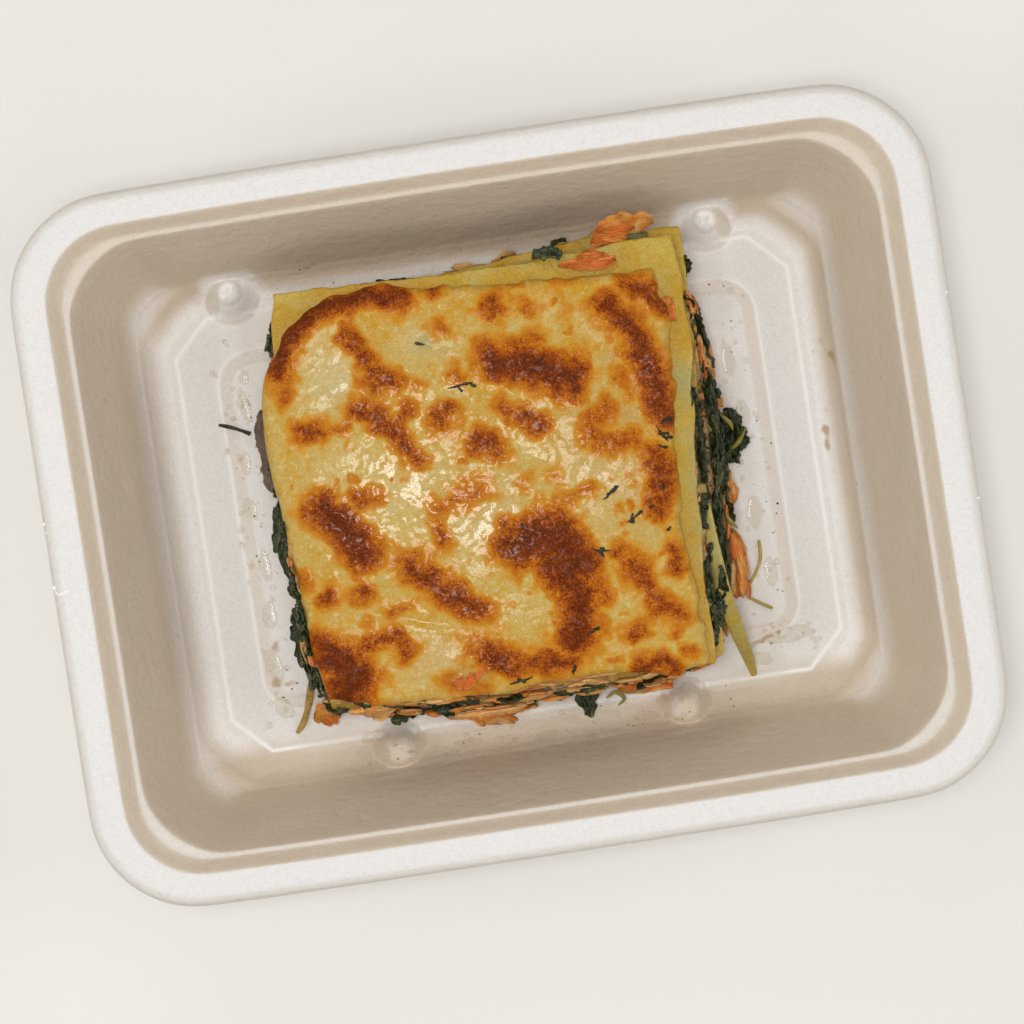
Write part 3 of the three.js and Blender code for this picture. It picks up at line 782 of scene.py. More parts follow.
class Kitchen:
    """All finishes of the portion, made once."""

    def __init__(self) -> None:
        """Makes the finishes."""
        self.pulp = PulpFinish().make()
        self.cheese = CheeseFinish().make()
        self.pasta = PastaFinish().make()
        self.filling = FillingFinish().make()
        self.salmon = SalmonFinish().make()
        self.skin = SkinFinish().make()
        self.spinach = LeafFinish().make()
        herbs = LeafFinish("baked_herbs", srgb(46, 44, 18), srgb(24, 24, 10), srgb(66, 62, 24))
        self.herbs = herbs.make()
        stem = LeafFinish("pale_stem", srgb(176, 146, 74), srgb(146, 116, 52), srgb(196, 170, 104))
        self.stem = stem.make()
        self.oil = JuiceFinish().make()


def serve(
    name: str,
    shape: BuildMesh | Mesh,
    finish: Material,
    replaces: Sequence[str] = (),
) -> Piece:
    """Puts a finished mesh into the scene as a piece of the part.

    Args:
        name: The piece's name.
        shape: Its mesh in metres, or one in millimetres that is still being built.
        finish: Its material.
        replaces: The nodes that it stands for.

    Returns:
        The piece.
    """
    mesh = mesh_of(shape, name) if isinstance(shape, BuildMesh) else shape
    mesh.materials.append(finish)
    piece = bpy.data.objects.new(name, mesh)
    bpy.context.scene.collection.objects.link(piece)
    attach(piece, "root")
    if replaces:
        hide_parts(*replaces)
    LOG.info("%s: %d points", name, len(mesh.vertices))
    return piece


# The tray


# Stains of sauce and oil on the pulp: middle, half sizes, turn and strength.
STAINS: Rows = (
    (85.6, 26.2, 1.1, 1.3, 0, 0.9), (87.2, 22.6, 0.7, 2.6, 25, 0.75), (83.2, 25.4, 0.8, 1.2, 30, 0.55),
    (84.2, 8.6, 0.8, 1.0, 0, 0.5), (83.2, 3.6, 1.2, 1.9, 0, 0.85), (83.4, -0.4, 0.8, 1.6, 0, 0.8),
    (-94.6, 45.4, 0.9, 2.2, 0, 0.45), (-95.2, 39, 1.0, 1.6, 0, 0.5), (-41.7, 65.6, 1.0, 0.7, 30, 1.0),
    (-43.2, 64.8, 0.6, 0.5, 0, 0.9), (-70.6, 21.4, 1.3, 1.5, 0, 0.55), (-68.2, 33.4, 1.4, 1.6, 0, 0.5),
    (-63.2, 33.4, 2.0, 1.6, 20, 0.65), (-57.4, 48.8, 1.3, 0.9, 0, 0.5), (-64.5, -18, 1.2, 2.0, 0, 0.5),
    (-65.4, -30, 1.4, 2.4, 0, 0.6), (-66.6, -39.4, 2.2, 2.0, 0, 0.6), (-63.4, -40, 2.4, 1.2, 0, 0.55),
    (-60.4, -46, 1.6, 1.2, 0, 0.4), (60.8, 30.2, 0.6, 0.5, 0, 0.95), (69.2, 50.4, 1.0, 0.9, 0, 0.3),
    (58.2, -47.6, 5.4, 0.8, 17, 0.8), (63.4, -46.2, 1.2, 1.0, 0, 0.7), (63.6, -50.4, 1.2, 1.6, -20, 0.5),
    (58.0, -40.6, 1.4, 0.5, 0, 0.6), (-38.5, -59.4, 1.0, 0.5, 0, 0.8), (-34.6, -61.6, 1.6, 0.6, 10, 0.7),
    (-31, -62.6, 1.0, 0.5, 0, 0.6), (-12, -62, 2.4, 0.7, 5, 0.45), (8, -61, 1.8, 0.6, 0, 0.4),
    (-20, 60.7, 0.8, 0.6, 0, 0.6), (-33.5, 70.9, 0.9, 0.6, 0, 0.55), (106, 33.9, 0.5, 0.7, 0, 1.0),
    (107.6, -16.1, 0.6, 0.5, 0, 0.8), (-90.5, -38.5, 0.7, 0.5, 0, 0.5), (-74, -30, 1.0, 1.2, 0, 0.35),
)


@dataclass(frozen=True)
class Level:
    """One level of the tray: a rectangle with its corners cut back, rounded or straight."""

    x: float
    y: float
    cut: float
    straight: float
    z: float
    soft: float = 0.55

    def towards(self, other: "Level", distance: float) -> "Level":
        """The level a distance away from this one on the way to another, or half way if that is nearer."""
        span = math.dist((self.x, self.y, self.z), (other.x, other.y, other.z))
        share = min(0.5, distance / max(span, 1e-6))
        mine = (self.x, self.y, self.cut, self.straight, self.z)
        its = (other.x, other.y, other.cut, other.straight, other.z)
        return Level(*(a + share * (b - a) for a, b in zip(mine, its)))

    def outline(self, corner: int, long_side: int, short_side: int, bow: float) -> Array:
        """Walks round the level against the clock.

        Args:
            corner: Steps round each corner.
            long_side: Steps along each long side.
            short_side: Steps along each short side.
            bow: How far the long sides swell out in their middle.

        Returns:
            Places in the plane.
        """
        step = np.linspace(0, 1, corner + 1)
        curve = np.cos(step * math.pi / 2), np.sin(step * math.pi / 2)
        across = self.cut * ((1 - self.straight) * curve[0] + self.straight * (1 - step))
        upward = self.cut * ((1 - self.straight) * curve[1] + self.straight * step)
        x, y = self.x - self.cut, self.y - self.cut
        corners = [
            np.stack([x + across, y + upward], 1),
            np.stack([-(x + upward), y + across], 1),
            np.stack([-(x + across), -(y + upward)], 1),
            np.stack([x + upward, -(y + across)], 1),
        ]
        rings = []
        for i, part in enumerate(corners):
            following = corners[(i + 1) % 4][0]
            count = long_side if i % 2 == 0 else short_side
            share = np.linspace(0, 1, count + 1)[1:-1, None]
            rings += [part, part[-1] + share * (following - part[-1])]
        ring = np.concatenate(rings)
        ring[:, 1] *= 1 - bow / self.y * (np.abs(ring[:, 0]) / self.x) ** 3
        return ring


@dataclass
class MouldedTray:
    """The meal tray of moulded pulp, with its raised floor panel, ledge, turned-down rim and stubs."""

    half_length: float = 113.5
    half_width: float = 88.5
    height: float = 50.0
    pulp: float = 1.6
    panel_rise: float = 1.3
    ledge_drop: float = 4.4
    lip_drop: float = 4.5
    stubs: tuple[tuple[float, float], ...] = ((-63.2, 61.8), (60.1, 61.8), (-37.9, -61.2), (36.9, -61.2))
    stub_height: float = 8.2
    stub_foot: float = 8.6
    stub_head: float = 1.8
    floor_half: tuple[float, float] = (79.8, 56.5)
    floor_corner: float = 127.0
    foot_profile: tuple[tuple[float, ...], tuple[float, ...]] = (
        (0, 0.4, 2.2, 6.8, 9.8),
        (60.2, 61.9, 64.2, 65.9, 66.7),
    )

    def inside(self) -> list[Level]:
        """The inside, from the middle of the floor up to the rim."""
        top, floor, ledge = self.height, self.pulp, self.height - self.ledge_drop
        return [
            Level(30, 14, 4, 0, floor + self.panel_rise),
            Level(56, 34, 6, 0, floor + self.panel_rise),
            Level(66.2, 43.6, 6.5, 0, floor + self.panel_rise, 0.4),
            Level(70.1, 46.8, 9.5, 0, floor, 0.7),
            Level(79.5, 56.2, 9.3, 0.85, floor, 0.3),
            Level(80.1, 56.8, 9.4, 0.85, floor + 0.25, 0.3),
            Level(82.4, 58.9, 10, 0.85, floor + 0.25, 0.8),
            Level(86.9, 63.2, 12.5, 0.75, floor + 2.2, 1.8),
            Level(88.3, 65, 14, 0.55, floor + 6.4, 1.6),
            Level(88.9, 65.7, 11, 0.1, floor + 7.2, 1.8),
            Level(93.6, 70.4, 14, 0.15, top / 2 + 1, 2.0),
            Level(99.2, 75.8, 17.2, 0.27, ledge - 0.4, 0.5),
            Level(100.8, 77.3, 17, 0, ledge, 0.5),
            Level(103.6, 79.5, 18, 0, top - 0.6),
            Level(104.6, 80.5, 18.8, 0, top),
        ]

    def outside(self) -> list[Level]:
        """The rim's outer edge and the underside, back to the middle of the floor."""
        top, ledge, under = self.height, self.height - self.ledge_drop, self.pulp
        x, y, lip = self.half_length, self.half_width, self.height - self.lip_drop
        return [
            Level(110.2, 85.5, 23, 0, top),
            Level(112.4, 87.5, 25, 0, top - 1.2),
            Level(x, y, 26, 0, lip),
            Level(x - under, y - under, 24.6, 0, lip),
            Level(109.8, 85.1, 22.6, 0, top - under),
            Level(106, 81.9, 19.8, 0, top - under),
            Level(102.6, 79, 17.6, 0, ledge - under),
            Level(100.4, 77, 18, 0.35, ledge - under - 0.4),
            Level(95.2, 72, 14.6, 0.15, top / 2 + 0.6),
            Level(90.6, 67.4, 11.6, 0.1, under + 6.2),
            Level(90, 66.7, 14.2, 0.55, under + 5.2),
            Level(88.6, 64.9, 12.6, 0.75, under + 0.6),
            Level(86.6, 62.6, 11.2, 0.85, 0.4),
            Level(84.8, 61, 10.8, 0.85, 0),
            Level(70.9, 47.6, 10.2, 0, 0),
            Level(67, 44.4, 7.2, 0, self.panel_rise),
            Level(56, 34, 6, 0, self.panel_rise),
            Level(30, 14, 4, 0, self.panel_rise),
        ]

    def shell(self) -> Mesh:
        """Draws the shell out level by level from its innermost ring.

        Returns:
            The closed shell.
        """
        sharp = [*self.inside(), *self.outside()]
        levels = [sharp[0]]
        for before, here, after in zip(sharp, sharp[1:], sharp[2:]):
            levels += [here.towards(before, here.soft), here.towards(after, here.soft)]
        levels.append(sharp[-1])
        rings = [level.outline(8, 16, 11, level.z / self.height) for level in levels]
        bm = bmesh.new()
        ring = bmesh.ops.create_circle(bm, segments=len(rings[0]), radius=1, cap_ends=True)["verts"]
        edges = bm.edges[:]
        for step, (level, places) in enumerate(zip(levels, rings)):
            if step:
                order = {vert: i for i, vert in enumerate(ring)}
                fresh, edges = drawn_out(bm, edges)
                below = {
                    v: next(e.other_vert(v) for e in v.link_edges if e.other_vert(v) in order) for v in fresh
                }
                ring = sorted(fresh, key=lambda v: order[below[v]])
            for vert, (x, y) in zip(ring, places):
                vert.co = (x, y, level.z)
        bmesh.ops.contextual_create(bm, geom=edges)
        return mesh_of(bm, "tray_shell")

    def stub_mesh(self, inset: float) -> Mesh:
        """Turns the soft mounds that keep stacked trays apart.

        Args:
            inset: How far their faces are moved in, for the hollow under them.

        Returns:
            All four as one mesh.
        """
        bm = bmesh.new()
        foot, top = self.stub_foot - inset, self.stub_height - inset
        for x, y in self.stubs:
            stub = bmesh.new()
            bmesh.ops.create_circle(stub, segments=40, radius=foot, cap_ends=True)
            edges = stub.edges[:]
            for radius in np.linspace(foot, 0.3, 15):
                fresh, edges = drawn_out(stub, edges)
                rise = top * smoothstep(foot, self.stub_head, np.array(radius))
                for vert in fresh:
                    share = radius / vert.co.xy.length
                    vert.co = (vert.co.x * share, vert.co.y * share, self.pulp + float(rise))
            bmesh.ops.contextual_create(stub, geom=edges)
            bmesh.ops.translate(stub, vec=(x, y, 0), verts=stub.verts[:])
            if not inset:
                for vert in stub.verts:
                    limit = float(np.interp(vert.co.z, *self.foot_profile))
                    vert.co.y = math.copysign(min(abs(vert.co.y), limit), vert.co.y)
            poured(stub, bm, {})
        return mesh_of(bm, "tray_stubs")

    def stains(self, places: Points) -> Array:
        """How stained the pulp is with sauce and oil, from 0 to 1."""
        total = np.zeros(len(places))
        warp = np.stack([noise(places, 3.0, 21), noise(places, 3.0, 22)], 1)
        for x, y, across, length, turn, strength in STAINS:
            c, s = cos_sin(turn)
            dx, dy = (places[:, :2] + 0.5 * warp - (x, y)).T
            away = ((dx * c + dy * s) / across) ** 2 + ((dy * c - dx * s) / length) ** 2
            total = np.maximum(total, strength * np.exp(-away))
        return 1.3 * total * (places[:, 2] > 0.5)

    def build(self, kitchen: Kitchen, wet: Callable[[Points], Array]) -> Piece:
        """Makes the tray.

        Args:
            kitchen: The finishes.
            wet: Says how wet the pulp is at each place, from 0 to 1.

        Returns:
            The piece.
        """
        piece = serve("tray_moulded", self.shell(), kitchen.pulp, ["tray"])
        settled(rounded(piece, 2))
        for operation, inset in (("UNION", 0.0), ("DIFFERENCE", self.pulp)):
            helper = bpy.data.objects.new("stub_shape", self.stub_mesh(inset))
            bpy.context.scene.collection.objects.link(helper)
            cut = piece.modifiers.new("stubs", "BOOLEAN")
            cut.operation = operation
            cut.object = helper
            cut.solver = "MANIFOLD"
            settled(piece)
            bpy.data.objects.remove(helper)
        mesh = piece.data
        mesh.polygons.foreach_set("use_smooth", [True] * len(mesh.polygons))
        places, facing = places_of(mesh), normals_of(mesh)
        uneven = 0.16 * fractal(places, 24.0, 3, 5) * smoothstep(0.5, 3.0, places[:, 2])
        move_points(mesh, places - facing * np.abs(uneven)[:, None])
        self.paint(mesh, places, facing, wet)
        return piece

    def paint(self, mesh: Mesh, places: Points, facing: Points, wet: Callable[[Points], Array]) -> None:
        """Paints the pulp's tan and its painted shade, painted light and painted highlights, its wetness and
        its stains.

        Args:
            mesh: The tray's mesh.
            places: Its points before the surface was made uneven.
            facing: Their outward directions.
            wet: Gives how wet the pulp is at some places.
        """
        inner = np.einsum("ij,ij->i", facing[:, :2], places[:, :2]) < 0
        # Walls and slopes take the tan colour by how much they face sideways: the pulp's own tint together
        # with painted shade.
        tan_and_shade_share = smoothstep(0.22, 0.78, np.linalg.norm(facing[:, :2], axis=1)) * np.where(inner, 1.0, 0.5)
        x, y, z = places.T
        upward = facing[:, 2] > 0
        low = z < 4
        # Painted shade on the sloping band round the raised floor panel.
        beyond = np.maximum(np.abs(places[:, :2]) - (61.0, 37.7), 0)
        edge = np.hypot(*beyond.T) - 9.1
        panel = smoothstep(-4.2, -3.2, edge) * smoothstep(0.2, -0.8, edge)
        tan_and_shade_share = np.maximum(tan_and_shade_share, 0.42 * panel * low * upward)
        # Painted shade on the lip between the ledge and the rim's top, darkest at the back.
        lip = smoothstep(44.3, 45.2, z) * smoothstep(47.0, 46.0, z) * inner
        tan_and_shade_share = np.maximum(tan_and_shade_share, (0.42 + 0.35 * smoothstep(50, 72, y)) * lip)
        # Painted light: the wall foot and the floor at the left end are made less tan.
        tan_and_shade_share = tan_and_shade_share * (1 - 0.4 * smoothstep(-80, -86, x) * (z < 9))
        # Painted shade: grey on the rim's top, the lip, the flat floor and the stubs' tops.
        flat_floor = smoothstep(0.012, 0.0, np.abs(facing[:, 2] - 1)) * low
        stub_top_shade = inner * smoothstep(5.5, 8.5, z) * smoothstep(14, 12, z) * (facing[:, 2] > 0.6)
        grey = 0.85 * smoothstep(46.5, 49.0, z) + 0.9 * lip + 0.3 * flat_floor + stub_top_shade
        paint_points(mesh, "grey", grey)
        # Painted light: the stubs lose most of their tan and painted shade, so they show little darker than
        # the floor.
        for stub_x, stub_y in self.stubs:
            away = np.hypot(x - stub_x, y - stub_y)
            near = inner * smoothstep(9.0, 6.5, away) * smoothstep(14.0, 10.0, z)
            tan_and_shade_share *= 1 - 0.85 * near * upward
        # Painted shadow on the floor at the front, where the portion and the front wall shade it, and a
        # little along the left.
        painted_floor_shadow = smoothstep(-52, -59, y) + 0.06 * smoothstep(-66, -72, x)
        tan_and_shade_share = np.maximum(tan_and_shade_share, painted_floor_shadow * (z < 12) * upward)
        # Painted light: the lower wall foot is made less tan, so the floor runs softly into the wall.
        foot = smoothstep(19.0, 7.0, z) * smoothstep(0.15, 0.5, np.abs(facing[:, 0])) * inner
        tan_and_shade_share *= 1 - 0.6 * foot * smoothstep(7.0, 9.0, z)
        # Painted highlight: a bright line along the floor's border and the panel's outer edge, which also
        # takes the tan away there.
        across, along_side = np.abs(x) - self.floor_half[0], np.abs(y) - self.floor_half[1]
        cut_corner = (np.abs(x) + np.abs(y) - self.floor_corner) / math.sqrt(2)
        border = np.max([across, along_side, cut_corner], axis=0)
        edge_highlight = np.exp(-((border / 0.45) ** 2)) + 0.8 * np.exp(-(((edge - 0.2) / 0.4) ** 2))
        edge_highlight *= low * upward
        tan_and_shade_share *= 1 - np.clip(edge_highlight, 0, 1)
        paint_points(mesh, "edge_highlight", edge_highlight)
        paint_points(mesh, "tan_and_shade_share", tan_and_shade_share)
        paint_points(mesh, "wet", wet(places) * (facing[:, 2] > 0.95))
        paint_points(mesh, "stain", self.stains(places) * upward)


# The stack of pasta, filling and cheese


@dataclass(frozen=True)
class Outline:
    """A layer's outline: left and right run from the front, front and back from the left."""

    left: tuple[float, ...]
    right: tuple[float, ...]
    front: tuple[float, ...]
    back: tuple[float, ...]
    corner: float

    def place(self, u: Array, v: Array) -> tuple[Array, Array]:
        """Spreads the square from -1 to 1 over the outline.

        Args:
            u: From the left to the right.
            v: From the front to the back.

        Returns:
            x and y in millimetres.
        """
        pull = 1 - self.corner * (u * v) ** 4
        left, right = along(self.left, v), along(self.right, v)
        front, back = along(self.front, u), along(self.back, u)
        x = left + (right - left) * (u * pull + 1) / 2
        y = front + (back - front) * (v * pull + 1) / 2
        return x, y


SHEET_OUTLINES = {
    "pasta_sheet_1": Outline((-55, -56, -55.5, -55, -53.5), (49, 51.5, 53, 52, 51),
                             (-49, -50, -50.5, -50.5, -50), (56, 56.5, 56.5, 57, 57.5), 0.02),
    "pasta_sheet_2": Outline((-54, -55, -54.5, -54, -52), (47.5, 49.5, 51, 51.5, 50.5),
                             (-48.5, -50, -49.5, -49.5, -48.5), (55.5, 56, 56, 57, 58), 0.02),
    "pasta_sheet_3": Outline((-52, -53, -53, -53, -51), (47.8, 47.8, 49.8, 51.6, 53),
                             (-46, -46.5, -48, -50.5, -48.5), (55, 56, 58.2, 60.4, 61.2), 0.01),
    "pasta_sheet_4": Outline((-51.5, -52.8, -53, -53, -51.2), (44.8, 44.8, 47.4, 49.8, 49.2),
                             (-44.5, -45, -45.5, -45.5, -49), (58.2, 57.4, 56.4, 57.2, 58.2), 0.0),
}
FILLING_OUTLINES = {
    "filling_1": Outline((-56, -57.5, -57, -56.5, -54), (50, 52.6, 54.5, 53.5, 52),
                         (-49, -50.5, -52, -52, -50.5), (57, 57.5, 57.5, 60, 59), 0.05),
    "filling_2": Outline((-54.5, -56, -56, -55.5, -53), (47, 49, 52, 52, 50),
                         (-45.5, -47, -49.5, -49.5, -48.5), (56, 56, 56, 58.5, 58), 0.05),
    "filling_3": Outline((-53, -54.5, -54.8, -54.5, -52), (45.5, 45.5, 47.5, 48, 47),
                         (-45.5, -46.5, -46.5, -46.5, -47.5), (55, 54.5, 54, 55.5, 57), 0.04),
}
CHEESE_OUTLINE = Outline((-53.4, -54.6, -54.8, -55.2, -55.8, -56.6, -56.8, -56, -51.6),
                         (43.2, 43.0, 42.2, 41.2, 42, 43.4, 44.8, 45.6, 45.4),
                         (-44, -46.4, -47, -47.2, -47.2, -46.4, -47.4, -49.6, -50.6),
                         (48, 54.8, 56.8, 54.8, 53, 51.4, 51.2, 51.2, 51.4), 0.03)


@dataclass(frozen=True)
class Stack:
    """How high the layers lie: four pasta sheets, three fillings between them and the cheese on top."""

    foot: float = 3.2
    gap: float = 0.3
    sheet: float = 1.5
    fillings: tuple[float, float, float] = (9.4, 8.8, 7.4)
    cheese: float = 3.6
    half_portion: tuple[float, float] = (54.0, 56.0)
    sink: float = 2.2
    wave: float = 0.5

    def heights(self) -> list[tuple[float, float]]:
        """The layers' undersides and tops above the foot."""
        thick = [self.sheet]
        for filling in self.fillings:
            thick += [filling, self.sheet]
        thick.append(self.cheese)
        lows = [sum(thick[:i]) + self.gap * i for i in range(len(thick))]
        return [(low, low + value) for low, value in zip(lows, thick)]

    def surface(self, height: float | Array, x: Array, y: Array) -> Array:
        """Where a level of the stack lies, in slow waves and lower at the cut sides.

        Args:
            height: Above the foot.
            x: Along the tray.
            y: Across it.

        Returns:
            z in millimetres.
        """
        edge = np.abs(x / self.half_portion[0]) ** 3 + np.abs(y / self.half_portion[1]) ** 3
        wave = 1.1 * np.sin(x / 15 + height / 7) + np.sin(y / 14 + height / 5 + x / 40)
        share = height / self.heights()[-1][1]
        return self.foot + height - self.sink * share * edge + self.wave * wave * np.minimum(1, 2 * share)


def lifted(places: Points, height: float) -> Points:
    """Moves places read at the rim's height down or up to their real height, as the camera sees them.

    Args:
        places: x and y at the rim's height.
        height: The real height.

    Returns:
        x and y at that height.
    """
    eye = np.array((-1.4, 10.0))
    return eye + (places - eye) * (748.4 - height) / 698.4


# Browned patches of the cheese, as seen: a run of places, its half width and how dark it is.
PATCHES: tuple[tuple[tuple[tuple[float, float], ...], float, float], ...] = (
    (((-50.5, 40), (-49, 44), (-46, 48), (-41, 52), (-34, 53.6), (-26, 52.6), (-19, 51.4)), 3.6, 0.95),
    (((-50.5, 37), (-51.5, 33), (-51, 31)), 1.9, 0.55),
    (((-34, 45), (-30, 40), (-27, 35), (-23.5, 32)), 2.6, 0.8), (((-28, 33),), 3.2, 0.7),
    (((-19, 31),), 1.7, 0.5),
    (((-34, 25.5), (-29.5, 24.5), (-26, 20), (-23.5, 15.5), (-21.5, 12)), 3.0, 0.85),
    (((-21.5, 25), (-24.5, 22)), 2.2, 0.7), (((-47.5, 22.5), (-44.5, 22)), 2.8, 0.8),
    (((-42, 22), (-37.5, 22)), 1.6, 0.5), (((-9, 31.5),), 3.2, 0.6), (((-10.5, 43.5),), 2.8, 0.6),
    (((-11, 52),), 2.2, 0.7), (((4, 46), (3, 43.5)), 2.6, 0.75), (((12, 45),), 2.1, 0.6),
    (((18, 49), (22, 50)), 1.8, 0.45), (((20.5, 42),), 1.6, 0.35),
    (((1, 33), (7, 31), (14, 28), (19, 26)), 5.2, 1.0), (((6, 36), (12, 37)), 3.0, 0.6),
    (((-13, 21),), 3.6, 0.8), (((-6, 13.5), (-3, 12.5)), 3.9, 0.8),
    (((2, 22), (6, 19.5), (9, 17)), 2.8, 0.75), (((37, 47), (40, 45), (43, 41)), 3.2, 0.85),
    (((31, 42), (34, 37), (37, 31), (38.4, 25), (39.6, 19), (40.4, 14)), 4.6, 0.9),
    (((31, 26), (33, 20)), 1.8, 0.45), (((27, 18), (22, 15), (22, 12), (26, 9), (31, 9.5)), 2.8, 0.6),
    (((-45.5, 3), (-42, 0), (-39, -4), (-37.5, -8)), 5.0, 1.0), (((-35.5, 4.5), (-33, 5)), 2.0, 0.65),
    (((-17, 0), (-11, 2.5), (-6, 3)), 3.4, 0.5), (((-18, -4), (-17.5, -9)), 2.2, 0.6),
    (((4, 2), (5, 4)), 2.0, 0.35), (((11, 3.5),), 2.2, 0.4), (((18, -1), (14, -4)), 2.6, 0.5),
    (((1, -12), (6, -10), (11, -13), (14, -18)), 7.2, 1.0),
    (((9, -18), (12.5, -24), (12.5, -31), (11.8, -36.5)), 5.6, 0.95), (((17, -23), (20, -27)), 2.6, 0.6),
    (((26, -20), (28, -25), (31, -31), (35, -33)), 3.0, 0.75), (((24, -17), (29, -21)), 2.6, 0.6),
    (((37, -18), (37.5, -23)), 2.4, 0.8), (((37.5, -34),), 2.4, 0.65), (((24, -38), (28, -37)), 1.9, 0.75),
    (((35, -38.5),), 1.7, 0.55), (((38, -43.5),), 1.8, 0.65),
    (((25, -46), (31, -45), (34, -47)), 2.3, 0.85), (((36, 5), (38, -2), (36, -8)), 3.2, 0.8),
    (((-26, -13), (-20, -18), (-14, -24), (-10, -27)), 3.6, 0.85), (((-29, -11), (-25, -13)), 2.0, 0.55),
    (((-47, -17.5),), 2.5, 0.75), (((-38, -17.5),), 2.5, 0.75), (((-54.5, -11), (-53, -14)), 1.6, 0.5),
    (((-33, -23.5), (-27, -23)), 1.3, 0.55), (((-50, -31), (-47, -34), (-43, -38), (-47, -41)), 6.2, 1.0),
    (((-40, -31), (-33, -30), (-31, -33)), 2.2, 0.75), (((-12, -37), (-8, -39)), 4.2, 0.9),
    (((-6, -42), (1, -41), (8, -42)), 2.8, 0.85), (((-22, -42), (-14, -45)), 2.2, 0.4),
    (((-19, -32), (-15, -33)), 1.8, 0.3),
)


# Small golden freckles of the cheese: middle, half sizes and how many.
FRECKLES: Rows = (
    (12, 44, 9, 8, 26), (25, 38, 7, 7, 14), (-20, 10, 10, 8, 8), (22, -4, 10, 6, 10), (-44, 14, 8, 8, 6),
    (28, -14, 8, 8, 10), (-2, -30, 10, 8, 10), (-10, 48, 12, 5, 8), (30, -38, 12, 8, 10), (-46, -20, 7, 9, 8),
)


# Shallow creases in the cheese: where they run, and how deep.
CREASES: tuple[tuple[tuple[tuple[float, float], ...], float], ...] = (
    (((-58, -19), (-47.5, -20.2), (-38.2, -23.4), (-28.8, -26.4), (-19.6, -28.8)), 0.4),
    (((-48.6, 8), (-42, 2.6), (-35.2, -3.8), (-30.9, -8.1)), 0.35),
)


# Where the cheese shows white sauce, melted fat or fish through it, and where its white is partly painted
# sheen: middle, half sizes and strength.
SAUCE_AREAS: dict[str, Rows] = {
    "white_sauce_and_sheen": ((-38, 36, 9, 9, 1.0), (-16, 41, 6, 4, 0.7), (-28, 4, 16, 9, 0.5), (-8, -6, 12, 9, 0.6),
             (-18, -38, 8, 6, 0.6), (22, 0, 9, 8, 0.35), (-42, 12, 8, 6, 0.4), (36, 33, 4, 9, 0.3)),
    "butter": ((-48, -24, 8, 16, 0.7), (-20, 49, 26, 5, 0.6), (14, 50, 26, 5, 0.8), (43, 0, 5, 40, 0.8),
               (10, -45, 40, 6, 0.6), (-24, -26, 16, 7, 0.5), (26, 40, 10, 8, 0.5), (-52, 25, 4, 20, 0.6)),
    "gloss": ((-26, 4, 20, 16, 1.0), (-8, -4, 16, 14, 0.9), (-20, 28, 22, 12, 0.6), (8, 14, 22, 16, 0.5),
              (-46, -6, 8, 12, 0.7), (-38, 34, 10, 10, 0.7), (-20, -26, 18, 8, 0.6), (46, 30, 8, 22, 0.6),
              (-16, -40, 8, 6, 0.5), (20, 2, 10, 8, 0.5)),
    "leafy": ((-15.5, 40.5, 3.4, 2.6, 0.9), (-12, 38, 2.0, 1.6, 0.5), (-40, 32, 6, 7, 0.25)),
    "flush": ((25, 12, 10, 10, 0.9), (30, -8, 9, 8, 0.6), (-6, 2, 13, 7, 0.35), (33, 29, 5, 8, 0.6),
              (-25, -36, 8, 6, 0.3)),
}


